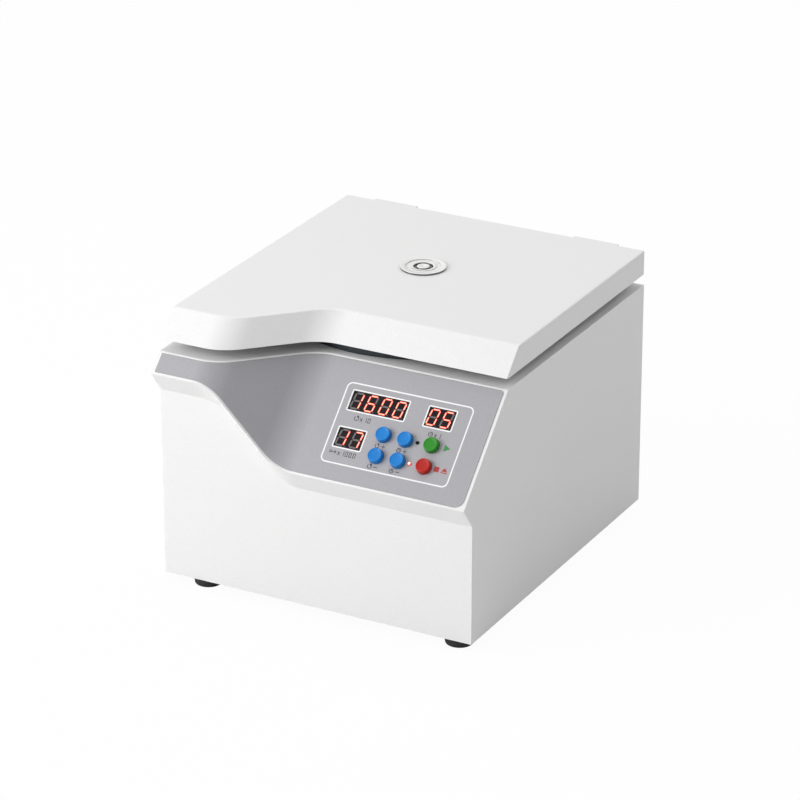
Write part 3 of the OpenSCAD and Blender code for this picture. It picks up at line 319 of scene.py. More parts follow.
def lampGlow(centre):
    made, tree, shader = startFinish("litLens", 0.25)
    spot = rangeOn(tree, lengthOn(tree, placeOn(tree, centre=centre)), 0, 1, 0, lampLook["spot"] * mm)
    glowOn(tree, shader, spot, [(0.42, (1.0, 0.9, 0.86)), (0.6, (0.8, 0.02, 0.015)), (1.0, (0.55, 0.01, 0.01))],
           lampLook["glow"])
    return made


lampLow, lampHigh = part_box("stop_lamp")
lampDrop = lampLook["radius"] * mm * half
finishes["litLens"] = lampGlow(Vector(((lampLow.x + lampHigh.x) / 2, lampLow.y + lampDrop, lampHigh.z - lampDrop)))

nodeFinish = {
    "paint": ["case_front", "case_sides", "case_deck_front", "case_deck_rear", "rear_panel", "lid_shell",
              "lid_hinge_leaves", "case_hinge_leaves"],
    "zinc": ["base_plate", "guard_ring", "chamber_plate", "chamber_posts", "motor_plate", "lock_body"],
    "steel": ["case_screws", "frame_screws", "motor_bearings", "spindle", "lock_bolt", "liner_screws", "lid_striker"],
    "rubber": ["rubber_feet", "spindle_boot", "motor_dampers"],
    "seal": ["chamber_seal"],
    "film": ["control_fascia"],
    "window": ["speed_display", "time_display", "force_display"],
    "darkLens": ["run_lamp"],
    "litLens": ["stop_lamp"],
    "blueKey": ["speed_up_key", "speed_down_key", "time_up_key", "time_down_key"],
    "greenKey": ["start_key"],
    "redKey": ["stop_key"],
    "blackPlastic": ["key_switches", "rotor_nut", "drive_parts", "fan_frame", "fan_rotor", "mains_inlet",
                     "switch_frame", "power_rocker"],
    "board": ["control_board", "drive_board"],
    "brass": ["control_board_posts", "inlet_pins"],
    "stainless": ["chamber_bowl"],
    "turned": ["motor_bottom_cap", "motor_housing", "motor_top_cap"],
    "copper": ["motor_stator", "lock_solenoid"],
    "magnet": ["magnet_rotor"],
    "anodised": ["angle_rotor"],
    "greyPlastic": ["cables"],
    "whitePlastic": ["lid_liner"],
    "acrylic": ["sight_glass"],
}
for finishName, members in nodeFinish.items():
    for nodeName in members:
        for slot in nodes[nodeName].material_slots:
            slot.material = finishes[finishName]
bare = set(nodes) - {n for members in nodeFinish.values() for n in members}
print("finishes:", len(finishes), "nodes without one:", sorted(bare))


def linkPiece(name, mesh, finishName):
    piece = newObject(name, mesh)
    mesh.materials.clear()
    mesh.materials.append(finishes[finishName])
    return piece


def meshFrom(name, build):
    mesh = bpy.data.meshes.new(name)
    working = bmesh.new()
    build(working)
    bmesh.ops.recalc_face_normals(working, faces=working.faces)
    working.to_mesh(mesh)
    working.free()
    return mesh


def settle(piece):  # turns modifiers and their result into a plain mesh
    graph = bpy.context.evaluated_depsgraph_get()
    graph.update()
    mesh = bpy.data.meshes.new_from_object(piece.evaluated_get(graph))
    piece.modifiers.clear()
    piece.data = mesh
    return piece


def combine(piece, operation, other, own=False):
    both = piece.modifiers.new("both", "BOOLEAN")
    both.operation = operation
    both.solver = "EXACT"
    both.use_self = own
    both.object = other
    settle(piece)


def sharpen(mesh, degrees):
    working = bmesh.new()
    working.from_mesh(mesh)
    for edge in working.edges:
        edge.smooth = len(edge.link_faces) == 2 and edge.calc_face_angle(0) < math.radians(degrees)
    for face in working.faces:
        face.smooth = True
    working.to_mesh(mesh)
    working.free()


def evenNormals(piece):
    weighted = piece.modifiers.new("weighted", "WEIGHTED_NORMAL")
    weighted.keep_sharp = True
    weighted.weight = 100
    settle(piece)


def fused(nodeNames):  # one mesh of the nodes' outer surface
    whole = newObject("whole", nodes[nodeNames[0]].data.copy())
    for nodeName in nodeNames[1:]:
        combine(whole, "UNION", nodes[nodeName])
    mesh = whole.data
    bpy.data.objects.remove(whole)
    return mesh


def fitOut(piece, body, replaced=()):  # hides the nodes a finished piece stands for and attaches it to the body it moves with
    if replaced:
        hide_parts(*replaced)
    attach(piece, body)


def addPiece(name, mesh, finishName, body, replaced=()):
    fitOut(linkPiece(name, mesh, finishName), body, replaced)


# corners this close in mm, corners on a turned body's seam and faces this even in degrees become one
meshLimits = {"weld": 0.002, "seam": 0.001, "flat": 0.4}


# a copy of one or more CAD nodes with chosen edges rounded, width in mm
def roundedCopy(nodeNames, pieceName, width, finishName, body, pick=None, steps=3, angle=30):
    mesh = fused(nodeNames)
    working = bmesh.new()
    working.from_mesh(mesh)
    bmesh.ops.remove_doubles(working, verts=working.verts, dist=meshLimits["weld"] * mm)
    bmesh.ops.dissolve_limit(working, angle_limit=math.radians(meshLimits["flat"]), verts=working.verts,
                             edges=working.edges)
    edges = [edge for edge in working.edges
             if len(edge.link_faces) == 2 and edge.calc_face_angle(0) > math.radians(angle)
             and (pick is None or pick(edge))]
    bmesh.ops.bevel(working, geom=edges, offset=width * mm, offset_type="OFFSET", segments=steps, profile=0.5,
                    affect="EDGES", clamp_overlap=True)
    working.to_mesh(mesh)
    working.free()
    piece = linkPiece(pieceName, mesh, finishName)
    sharpen(mesh, 25)
    evenNormals(piece)
    fitOut(piece, body, nodeNames)
    return piece


def camel(nodeName):
    words = nodeName.split("_")
    return words[0] + "".join(word.capitalize() for word in words[1:])


# a turned body: profile points are (radius, height) in mm along the given axis
def turned(working, profile, base, axis, steps):
    turn = axis.to_track_quat("Z", "Y").to_matrix()
    loops = []
    for radius, height in profile:
        if radius == 0:
            loops.append([working.verts.new(base + turn @ Vector((0, 0, height * mm)))])
            continue
        loop = []
        for i in range(steps):
            a = 2 * math.pi * i / steps
            spot = (radius * mm * math.cos(a), radius * mm * math.sin(a), height * mm)
            loop.append(working.verts.new(base + turn @ Vector(spot)))
        loops.append(loop)
    for low, high in zip(loops, loops[1:]):
        for i in range(steps):
            j = (i + 1) % steps
            corners = [low[i % len(low)], low[j % len(low)], high[j % len(high)], high[i % len(high)]]
            corners = [v for k, v in enumerate(corners) if v not in corners[:k]]
            working.faces.new(corners)


def islandPoints(nodeName):  # the corners of each of a node's separate solids
    working = bmesh.new()
    working.from_mesh(nodes[nodeName].data)
    bmesh.ops.remove_doubles(working, verts=working.verts, dist=meshLimits["weld"] * mm)
    todo, found = set(working.verts), []
    while todo:
        stack, points = [todo.pop()], []
        while stack:
            vertex = stack.pop()
            points.append(vertex.co.copy())
            for edge in vertex.link_edges:
                other = edge.other_vert(vertex)
                if other in todo:
                    todo.discard(other)
                    stack.append(other)
        found.append(points)
    working.free()
    return sorted(found, key=lambda points: [round(c, 5) for c in map(min, *points)])


def islandBox(points):
    return Vector(map(min, *points)), Vector(map(max, *points))


cameraPlace = {
    "azimuth": 28.169, "elevation": 23.441,  # degrees, to the right of the front and up
    "distance": 3.4249, "lookAt": (-0.00685, 0.00387, 0.13329),
    "lens": 181.634, "clip": (0.1, 40),
}


def makeCamera(place):
    data = bpy.data.cameras.new("camera")
    data.lens = place["lens"]
    data.clip_start, data.clip_end = place["clip"]
    camera = newObject("camera", data)
    turn, rise = math.radians(place["azimuth"]), math.radians(place["elevation"])
    away = Vector((math.sin(turn) * math.cos(rise), -math.cos(turn) * math.cos(rise), math.sin(rise)))
    camera.location = Vector(place["lookAt"]) + away * place["distance"]
    camera.rotation_mode = "QUATERNION"
    camera.rotation_quaternion = (-away).to_track_quat("-Z", "Y")
    bpy.context.scene.camera = camera


makeCamera(cameraPlace)
print("camera ready")


caseEdges = {"width": 1.2, "steps": 4, "angle": 20}
slopeRule = Vector((0, half, half))
chinRule = Vector((0, 15, -19.5)).normalized()  # the chin runs 15 mm forward while it rises 19.5
near = 0.1 * mm


def sharedFace(centre, normal):
    if abs(normal.x) > 0.99 and abs(centre.x) > halfWidth - near:
        return "side"
    if abs(normal.dot(slopeRule)) < 0.02 and normal.z > 0.3 and abs(normal.x) < 0.9:
        return "slope"
    return ""


def caseFace(face):
    centre, normal = face.calc_center_median(), face.normal
    if normal.z > 0.99 and abs(centre.z - deckZ) < near:
        return "deck"
    if normal.y < -0.99 and centre.y < frontY + near:
        return "front"
    if abs(normal.dot(chinRule)) < 0.03 and normal.z < -0.2 and centre.y < frontY:
        return "chin"
    return sharedFace(centre, normal)


def lidFace(face):
    centre, normal = face.calc_center_median(), face.normal
    if normal.z > 0.99 and centre.z > lidTopZ - near:
        return "top"
    if normal.y > 0.99 and centre.y > backY - near:
        return "back"
    return sharedFace(centre, normal)


def betweenFaces(sort):  # picks the edges where two named faces of the shell meet
    def pick(edge):
        first, second = [sort(face) for face in edge.link_faces]
        return bool(first and second and first != second)
    return pick


caseNodes = ["case_front", "case_sides", "case_deck_front", "case_deck_rear"]
for nodeNames, pieceName, body, sort in ((caseNodes, "caseShell", "cabinet", caseFace),
                                         (["lid_shell"], "lidShell", "lid", lidFace)):
    skin = roundedCopy(nodeNames, pieceName, caseEdges["width"], "paint", body, betweenFaces(sort),
                       caseEdges["steps"], caseEdges["angle"])
    print("rounded", pieceName, len(skin.data.polygons), "faces")


def arcPoints(x, y, radius, start, end, steps=14):
    angles = [math.radians(start + (end - start) * i / steps) for i in range(steps + 1)]
    return [(x + radius * math.cos(a), y + radius * math.sin(a)) for a in angles]


# spans are left, right, upper and lower edge on the slope, in mm
frameArt = {"span": (7.4, 122.7, 21.4, 92.3), "line": 1.25, "corner": 4.5}
windowArt = {"grow": 0.9, "overlap": 0.3, "corner": 1.6, "inner": 0.5}


def roundedOutline(span, grow, corner, steps=7):
    left, right, top, bottom = span[0] - grow, span[1] + grow, span[2] - grow, span[3] + grow
    places = [(right - corner, bottom - corner, 0), (left + corner, bottom - corner, 90),
              (left + corner, top + corner, 180), (right - corner, top + corner, 270)]
    return [point for x, down, start in places for point in arcPoints(x, down, corner, start, start + 90, steps)]


def addWall(working, first, second):  # faces between two loops of corners
    for i in range(len(first)):
        j = (i + 1) % len(first)
        working.faces.new((first[i], first[j], second[j], second[i]))


def addRing(working, outer, inner, low, high):
    sets = [[working.verts.new(panelPoint(x, d, out)) for x, d in loop]
            for loop, out in ((outer, low), (outer, high), (inner, high), (inner, low))]
    for first, second in zip(sets, sets[1:] + sets[:1]):
        addWall(working, first, second)


inkFoot, inkHeight = 0.46, 0.54  # the ink's underside and top above the slope, in mm; the film is 0.5 thick
panelInk = (panelPoint, inkFoot, inkHeight)


def addPlate(working, outline, ink=panelInk):
    place, low, high = ink
    bottom = [working.verts.new(place(x, d, low)) for x, d in outline]
    top = [working.verts.new(place(x, d, high)) for x, d in outline]
    working.faces.new(top)
    working.faces.new(bottom[::-1])
    addWall(working, bottom, top)


def whiteLines(working):
    outer, inner = [roundedOutline(frameArt["span"], grow, frameArt["corner"] + grow)
                    for grow in (frameArt["line"] / 2, -frameArt["line"] / 2)]
    addRing(working, outer, inner, inkFoot, inkHeight)
    for nodeName in nodeFinish["window"]:
        span = panelSpan(nodeName)
        addRing(working, roundedOutline(span, windowArt["grow"], windowArt["corner"]),
                roundedOutline(span, -windowArt["overlap"], windowArt["inner"]), windowPrint, inkHeight)


# icons in place of words: each stroke is a list of points across and down, in mm
iconSize = {"stroke": 0.5, "icon": 1.9, "sign": 1.5, "figure": 3.7, "textShare": 1.9, "keyShare": 0.92,
            "left": 2.9, "right": 2.6}
figureShape = {"width": 0.5, "pitch": 1.9}  # a figure's width as a share of its height, the pitch of its width
arrowHead = ((-1.1, -1.1), (1.0, -0.3), (-0.6, 1.1))


def addStroke(working, points, width=iconSize["stroke"], ink=panelInk):
    for (x1, y1), (x2, y2) in zip(points, points[1:]):
        length = math.hypot(x2 - x1, y2 - y1) or 1
        ex, ey = (x2 - x1) / length * width / 2, (y2 - y1) / length * width / 2
        outline = [(x1 - ex - ey, y1 - ey + ex), (x2 + ex - ey, y2 + ey + ex),
                   (x2 + ex + ey, y2 + ey - ex), (x1 - ex + ey, y1 - ey - ex)]
        addPlate(working, outline, ink)


def spinIcon(working, x, y, r):  # a turning arrow
    addStroke(working, arcPoints(x, y, r, -60, 220))
    tipX, tipY = x + r * math.cos(math.radians(-60)), y + r * math.sin(math.radians(-60))
    addPlate(working, [(tipX + across, tipY + down) for across, down in arrowHead])


def clockIcon(working, x, y, r):
    addStroke(working, arcPoints(x, y, r, 0, 345))
    addStroke(working, [(x, y - r * 0.6), (x, y), (x + r * 0.5, y)])


def pullIcon(working, x, y, r):  # a weight pushed outwards
    addStroke(working, [(x - r, y), (x + r, y)])
    addStroke(working, [(x + r * 0.3, y - r * 0.6), (x + r, y), (x + r * 0.3, y + r * 0.6)])
    addStroke(working, arcPoints(x - r * 1.6, y, r * 0.5, 0, 345))


def plusIcon(working, x, y, r, upright=True):
    addStroke(working, [(x - r, y), (x + r, y)])
    if upright:
        addStroke(working, [(x, y - r), (x, y + r)])


digitStrokes = {
    "0": "abcdef", "1": "bc", "2": "abged", "3": "abgcd", "4": "fgbc",
    "5": "afgcd", "6": "afgecd", "7": "abc", "8": "abcdefg", "9": "abfgcd",
}


def strokeEnds(w, h):  # the seven strokes of a figure w wide and h high
    return {"a": ((0, 0), (w, 0)), "b": ((w, 0), (w, h / 2)), "c": ((w, h / 2), (w, h)), "d": ((0, h), (w, h)),
            "e": ((0, h / 2), (0, h)), "f": ((0, 0), (0, h / 2)), "g": ((0, h / 2), (w, h / 2))}


def numberIcon(working, text, x, y, size, ink=panelInk):  # figures made of strokes
    w, h = size * figureShape["width"], size
    ends = strokeEnds(w, h)
    for i, figure in enumerate(text):
        left = x + i * w * figureShape["pitch"]
        strokes = [ends[stroke] for stroke in digitStrokes.get(figure, "")]
        if figure == "x":
            strokes = [((0, h * 0.3), (w, h)), ((0, h), (w, h * 0.3))]
        for (x1, y1), (x2, y2) in strokes:
            addStroke(working, [(left + x1, y + y1), (left + x2, y + y2)], ink=ink)


# centres of the displays' and the keys' icons, and the corners of the filled ones
displayIcons = ((spinIcon, "x10", 25.5, 51.0), (clockIcon, "x1", 93.5, 50.8), (pullIcon, "x1000", 16.8, 82.9))
keyIcons = ((spinIcon, 54.6), (clockIcon, 74.5))
keyRows = ((70.1, True), (88.5, False))
startMark = [[(109.2, 56.8), (114.8, 59.9), (109.2, 63.0)]]
stopMarks = [[(107.2, 76.7), (111.6, 76.7), (111.6, 81.1), (107.2, 81.1)],
             [(113.6, 80.3), (119.2, 80.3), (119.2, 81.1), (113.6, 81.1)],
             [(116.4, 76.4), (119.2, 79.6), (113.6, 79.6)]]


def darkIcons(working):
    icon, figure = iconSize["icon"], iconSize["figure"]
    for draw, text, x, down in displayIcons:
        draw(working, x, down, icon)
        numberIcon(working, text, x + iconSize["textShare"] * icon, down - figure / 2, figure)
    for draw, x in keyIcons:
        for down, upright in keyRows:
            draw(working, x - iconSize["left"], down, iconSize["keyShare"] * icon)
            plusIcon(working, x + iconSize["right"], down, iconSize["sign"], upright)


def filled(outlines):
    def build(working):
        for outline in outlines:
            addPlate(working, outline)
    return build


for pieceName, build, finishName in (("whiteLines", whiteLines, "whiteInk"), ("darkIcons", darkIcons, "darkInk"),
                                     ("greenIcon", filled(startMark), "greenInk"),
                                     ("redIcons", filled(stopMarks), "redInk")):
    addPiece(pieceName, meshFrom(pieceName, build), finishName, "cabinet")
print("panel printed")


digitLook = {"height": 15.2, "width": 8.7, "bar": 1.6, "gap": 0.2, "slant": 7.5, "lift": 0.05, "sunk": 0.1,
             "crest": 0.02, "leftward": 0.3, "dot": 0.55, "dotRight": 1.5, "dotDown": 0.2}


def addSegment(working, ridge, start, end, place):
    (x1, y1), (x2, y2) = start, end
    length = math.hypot(x2 - x1, y2 - y1)
    ux, uy = (x2 - x1) / length, (y2 - y1) / length
    gap, bar = digitLook["gap"], digitLook["bar"]
    left, right = gap + bar / 2, length - gap - bar / 2
    outline = [(gap, 0), (left, bar / 2), (right, bar / 2), (length - gap, 0), (right, -bar / 2), (left, -bar / 2)]
    lift, sunk = digitLook["lift"], digitLook["sunk"]

    def point(along, across, out):
        return place(x1 + ux * along - uy * across, y1 + uy * along + ux * across, out)

    rim = [working.verts.new(point(a, c, windowPrint + lift)) for a, c in outline]
    foot = [working.verts.new(point(a, c, windowPrint - sunk)) for a, c in outline]
    crest = [working.verts.new(point(along, 0, windowPrint + lift + digitLook["crest"])) for along in (left, right)]
    for vertex in crest:
        vertex[ridge] = 1.0
    for i, tips in enumerate(((0,), (1, 0), (1,), (1,), (0, 1), (0,))):
        working.faces.new([rim[i], rim[(i + 1) % 6]] + [crest[tip] for tip in tips])
    working.faces.new(foot[::-1])
    addWall(working, foot, rim)


def displayDigits(text, nodeName):
    left, right, top, bottom = panelSpan(nodeName)
    pitch = (right - left) / len(text)
    w, h = digitLook["width"] - digitLook["bar"], digitLook["height"] - digitLook["bar"]
    lean = math.tan(math.radians(digitLook["slant"]))
    dot = arcPoints(w + digitLook["dotRight"], h + digitLook["dotDown"], digitLook["dot"], 0, 324, 9)

    def build(working, state):
        ridge = working.verts.layers.float.new("ridge")
        for i, figure in enumerate(text):
            cornerX = left + pitch * (i + 0.5) - w / 2 - digitLook["leftward"]
            cornerY = (top + bottom) / 2 - h / 2

            def place(x, y, out):
                return panelPoint(cornerX + x + (h / 2 - y) * lean, cornerY + y, out)

            for name, (start, end) in strokeEnds(w, h).items():
                if (name in digitStrokes[figure]) == (state == "lit"):
                    addSegment(working, ridge, start, end, place)
            if state == "unlit":
                addPlate(working, dot, (place, windowLift - digitLook["sunk"], windowLift + digitLook["lift"]))

    for state in ("lit", "unlit"):
        pieceName = nodeName.split("_")[0] + state.capitalize() + "Digits"
        addPiece(pieceName, meshFrom(pieceName, lambda working: build(working, state)), state, "cabinet")


for text, nodeName in (("1600", "speed_display"), ("05", "time_display"), ("17", "force_display")):
    displayDigits(text, nodeName)
print("digits made")


# heights are above the slope, in mm
keyShape = {"edge": 0.9, "dish": 0.35, "rim": 1.1, "inFromFlange": 1.1, "stem": 1.7, "flangeLow": -3.6,
            "flangeHigh": -2.4, "sag": (0.06, 0.09), "sides": 64}


def makeKey(nodeName, finishName):
    outs = [(v.co - panelStart).dot(panelOut) / mm for v in nodes[nodeName].data.vertices]
    left, right, top, bottom = panelSpan(nodeName)
    centreX, centreDown = (left + right) / 2, (top + bottom) / 2
    flange = (right - left) / 2
    cap = flange - keyShape["inFromFlange"]
    crown, foot = max(outs), min(outs)
    edge, rim, dish = keyShape["edge"], keyShape["rim"], keyShape["dish"]
    stem, low, high = keyShape["stem"], keyShape["flangeLow"], keyShape["flangeHigh"]
    profile = [(0, foot), (stem, foot), (stem, low), (flange, low), (flange, high), (cap, high)]
    profile += arcPoints(cap - edge, crown - edge, edge, 0, 90, 6)
    for i in range(1, 6):
        share = i / 5
        profile.append((cap - edge - rim * share, crown - dish * (1 - math.cos(math.pi * share)) / 2))
    between, middle = keyShape["sag"]
    profile += [((cap - edge - rim) * 0.5, crown - dish - between), (0, crown - dish - middle)]

    def build(working):
        turned(working, profile, panelPoint(centreX, centreDown), panelOut, keyShape["sides"])

    pieceName = camel(nodeName) + "Cap"
    mesh = meshFrom(pieceName, build)
    sharpen(mesh, 40)
    addPiece(pieceName, mesh, finishName, nodeName, [nodeName])


for finishName in keyLook:
    for nodeName in nodeFinish[finishName]:
        makeKey(nodeName, finishName)
print("keys made")


# radius and height above the lid's top, in mm, from the outer rim inwards
sightShape = {"foot": 16.4, "sides": 96,
              "rings": ((19.7, 0.0), (19.7, 1.42), (19.55, 1.6), (15.6, 1.6), (15.3, 1.4), (15.1, 0.85), (14.8, 0.75),
                        (11.3, 0.75), (11.0, 0.85), (10.9, 1.25), (10.6, 1.35), (8.8, 1.35), (8.5, 1.1), (8.3, -0.6),
                        (7.9, -0.8), (5.8, -0.8), (5.5, 1.1), (5.1, 1.5), (2.6, 1.55), (2.2, 1.2), (0.0, 1.15))}


def makeSight():
    low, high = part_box("sight_glass")
    centre = Vector(((low.x + high.x) / 2, (low.y + high.y) / 2, lidTopZ))
    bottom = (low.z - lidTopZ) / mm
    foot = sightShape["foot"]
    profile = [(0, bottom), (foot, bottom), (foot, 0)] + list(sightShape["rings"])

    def build(working):
        turned(working, profile, centre, upAxis, sightShape["sides"])

    mesh = meshFrom("sightGlass", build)
    # painted shade: steep walls and the sunken floors get a higher value here, which darkens the acrylic's base
    # colour
    wall = mesh.attributes.new("wall", "FLOAT", "FACE")
    for face in mesh.polygons:
        sunk = 0.75 if face.center.z < lidTopZ and face.normal.z > 0.5 else 0
        wall.data[face.index].value = max(sunk, 1 - abs(face.normal.z))
    sharpen(mesh, 50)
    addPiece("sightGlass", mesh, "acrylic", "lid", ["sight_glass"])


makeSight()


footShape = {"round": 1.6, "steps": 6, "bore": 2.0, "boreLow": 4.5, "well": 5.0, "taper": 0.6, "band": 2.4,
             "sides": 48}


def makeFeet():
    def build(working):
        for low, high in map(islandBox, islandPoints("rubber_feet")):
            centre = Vector(((low.x + high.x) / 2, (low.y + high.y) / 2, low.z))
            radius, height = (high.x - low.x) / 2 / mm, (high.z - low.z) / mm
            edge, bore, boreLow, well = [footShape[key] for key in ("round", "bore", "boreLow", "well")]
            turn = radius - footShape["taper"] - edge
            profile = [(bore, height), (bore, boreLow), (well, boreLow), (well, 0.4), (well + 0.5, 0), (turn, 0)]
            profile += arcPoints(turn, edge, edge, -90, 0, footShape["steps"])
            profile += [(radius, height - footShape["band"]), (radius, height - 0.5), (radius - 0.5, height),
                        (bore, height)]
            turned(working, profile, centre, upAxis, footShape["sides"])
        bmesh.ops.remove_doubles(working, verts=working.verts, dist=meshLimits["seam"] * mm)

    mesh = meshFrom("rubberFeet", build)
    sharpen(mesh, 40)
    addPiece("rubberFeet", mesh, "rubber", "cabinet", ["rubber_feet"])


makeFeet()
print("sight glass and feet made")


# node: rounding in mm and the body it moves with
softEdges = {
    "rear_panel": (0.3, "cabinet"), "base_plate": (0.3, "cabinet"), "lid_hinge_leaves": (0.35, "lid"),
    "case_hinge_leaves": (0.35, "cabinet"), "mains_inlet": (0.4, "cabinet"), "inlet_pins": (0.2, "cabinet"),
    "switch_frame": (0.3, "cabinet"), "power_rocker": (0.4, "power_rocker"),
    "fan_rotor": (0.2, "fan_rotor"), "angle_rotor": (0.5, "spindle"), "rotor_nut": (0.4, "spindle"),
    "chamber_bowl": (0.4, "cabinet"), "lid_liner": (0.4, "lid"), "lid_striker": (0.25, "lid"),
    "chamber_seal": (0.5, "cabinet"), "lock_bolt": (0.25, "lock_bolt"),
}
for nodeName, (width, body) in softEdges.items():
    finishName = next(name for name, members in nodeFinish.items() if nodeName in members)
    piece = roundedCopy([nodeName], camel(nodeName), width, finishName, body)
    print("rounded", nodeName, len(piece.data.polygons), "faces")


# the head's measures are shares of its radius and height
screwLook = {"recess": 0.62, "arm": 0.17, "deep": 0.55, "crown": 0.3, "rim": 0.45, "above": 1.4,
             "taper": (0.7, 1.15), "headSides": 40, "sides": 24, "seed": 11}
screwBodies = {"case_screws": "cabinet", "liner_screws": "lid"}


def screwHead():  # a domed head of radius 1 and height 1 with a cross recess
    rim = (1 - screwLook["crown"]) * screwLook["rim"]

    def dome(working):
        profile = [(0, 0), (1, 0), (1, rim)]
        for i in range(1, 9):
            a = math.radians(90 * i / 8)
            profile.append((math.cos(a) * 0.999 if i < 8 else 0, rim + (1 - rim) * math.sin(a)))
        turned(working, profile, Vector(), upAxis, screwLook["headSides"])
        for vertex in working.verts:
            vertex.co /= mm

    def cross(working):
        reach, arm, floor = screwLook["recess"], screwLook["arm"], 1 - screwLook["deep"]
        for wide, deep in ((reach, arm), (arm, reach)):
            corners = [working.verts.new((x * wide * k, y * deep * k, z))
                       for z, k in zip((floor, screwLook["above"]), screwLook["taper"])
                       for x, y in ((-1, -1), (1, -1), (1, 1), (-1, 1))]
            for face in ((3, 2, 1, 0), (4, 5, 6, 7), (0, 1, 5, 4), (1, 2, 6, 5), (2, 3, 7, 6), (3, 0, 4, 7)):
                working.faces.new([corners[i] for i in face])

    head = newObject("screwHead", meshFrom("screwHead", dome))
    cutter = newObject("screwCross", meshFrom("screwCross", cross))
    combine(head, "DIFFERENCE", cutter, True)
    bpy.data.objects.remove(cutter)
    sharpen(head.data, 40)
    return head


screwSockets = {
    "Points": "NodeSocketGeometry", "Head": "NodeSocketObject", "Head radius": "NodeSocketFloat",
    "Head height": "NodeSocketFloat", "Shank radius": "NodeSocketFloat", "Shank length": "NodeSocketFloat",
    "Outward": "NodeSocketRotation", "Seed": "NodeSocketInt", "Finish": "NodeSocketMaterial",
}
screwSteps = {
    "start": "NodeGroupInput", "end": "NodeGroupOutput", "info": "GeometryNodeObjectInfo",
    "size": "ShaderNodeCombineXYZ", "grow": "GeometryNodeTransform", "shank": "GeometryNodeMeshCylinder",
    "half": "ShaderNodeMath", "drop": "ShaderNodeCombineXYZ", "lower": "GeometryNodeTransform",
    "join": "GeometryNodeJoinGeometry", "chance": "FunctionNodeRandomValue", "angle": "ShaderNodeCombineXYZ",
    "spin": "FunctionNodeEulerToRotation", "both": "FunctionNodeRotateRotation",
    "place": "GeometryNodeInstanceOnPoints", "real": "GeometryNodeRealizeInstances",
    "finish": "GeometryNodeSetMaterial",
}
screwLinks = (
    ("start", "Head", "info", "Object"), ("start", "Head radius", "size", "X"), ("start", "Head radius", "size", "Y"),
    ("start", "Head height", "size", "Z"), ("info", "Geometry", "grow", "Geometry"),
    ("size", "Vector", "grow", "Scale"), ("start", "Shank radius", "shank", "Radius"),
    ("start", "Shank length", "shank", "Depth"), ("start", "Shank length", "half", 0), ("half", "Value", "drop", "Z"),
    ("shank", "Mesh", "lower", "Geometry"), ("drop", "Vector", "lower", "Translation"),
    ("lower", "Geometry", "join", "Geometry"), ("grow", "Geometry", "join", "Geometry"),
    ("start", "Seed", "chance", "Seed"), ("chance", 1, "angle", "Z"), ("angle", "Vector", "spin", "Euler"),
    ("start", "Outward", "both", "Rotation"), ("spin", "Rotation", "both", "Rotate By"),
    ("start", "Points", "place", "Points"), ("join", "Geometry", "place", "Instance"),
    ("both", "Rotation", "place", "Rotation"), ("place", "Instances", "real", "Geometry"),
    ("real", "Geometry", "finish", "Geometry"), ("start", "Finish", "finish", "Material"),
    ("finish", "Geometry", "end", "Screws"),
)


def screwTree():  # sets a screw on every point, each turned by chance
    tree = bpy.data.node_groups.new("screwRow", "GeometryNodeTree")
    for name, kind in screwSockets.items():
        tree.interface.new_socket(name, in_out="INPUT", socket_type=kind)
    tree.interface.new_socket("Screws", in_out="OUTPUT", socket_type="NodeSocketGeometry")
    made = {key: tree.nodes.new(kind) for key, kind in screwSteps.items()}
    made["half"].operation = "MULTIPLY"
    made["half"].inputs[1].default_value = -0.5
    made["both"].rotation_space = "LOCAL"
    made["chance"].inputs[3].default_value = 2 * math.pi
    made["shank"].inputs["Vertices"].default_value = screwLook["sides"]
    for source, output, target, entry in screwLinks:
        tree.links.new(made[source].outputs[output], made[target].inputs[entry])
    return tree


def screwGroups(nodeName):  # the node's screws, sorted by their direction and sizes
    groups = {}
    for points in islandPoints(nodeName):
        low, high = islandBox(points)
        along = Vector((0, 1, 0)) if high.y - low.y > high.z - low.z else Vector((0, 0, -1))
        levels = sorted({round(p.dot(along) / mm, 2) for p in points})
        tip, seat, top = levels[0], levels[-2], levels[-1]
        centre = (low + high) / 2
        reach = {}
        for level in (tip, top):
            ring = [p - centre for p in points if abs(p.dot(along) / mm - level) < 0.02]
            reach[level] = max((p - along * p.dot(along)).length for p in ring) / mm
        key = (tuple(along), round(reach[top], 2), round(top - seat, 2), round(reach[tip], 2), round(seat - tip, 2))
        groups.setdefault(key, []).append(centre + along * (seat * mm - centre.dot(along)))
    return groups


def screwRow(tree, head, key, places):
    along, headRadius, headHeight, shankRadius, shankLength = key
    mesh = bpy.data.meshes.new("screwPlaces")
    mesh.from_pydata(places, [], [])
    row = newObject("screwRow", mesh)
    modifier = row.modifiers.new("screws", "NODES")
    modifier.node_group = tree
    entries = {item.name: item.identifier for item in tree.interface.items_tree if item.in_out == "INPUT"}
    for name, value in (("Head", head), ("Head radius", headRadius * mm), ("Head height", headHeight * mm),
                        ("Shank radius", shankRadius * mm), ("Shank length", shankLength * mm),
                        ("Outward", Vector(along).to_track_quat("Z", "Y").to_euler()),
                        ("Seed", screwLook["seed"]), ("Finish", finishes["steel"])):
        modifier[entries[name]] = value
    return settle(row)


def makeScrews():
    head, tree = screwHead(), screwTree()
    for nodeName, body in screwBodies.items():
        working = bmesh.new()
        for key, places in screwGroups(nodeName).items():
            row = screwRow(tree, head, key, places)
            working.from_mesh(row.data)
            bpy.data.objects.remove(row)
        whole = bpy.data.meshes.new(camel(nodeName))
        working.to_mesh(whole)
        working.free()
        addPiece(camel(nodeName), whole, "steel", body, [nodeName])
        print("screws made:", nodeName, len(whole.polygons), "faces")
    bpy.data.objects.remove(head)


makeScrews()


wellNumbers = {"count": 12, "height": 5.0, "lift": 0.03, "sunk": -0.05}
rockerMarks = {"height": 3.4, "stroke": 0.6, "lift": 0.03, "sunk": -0.05}


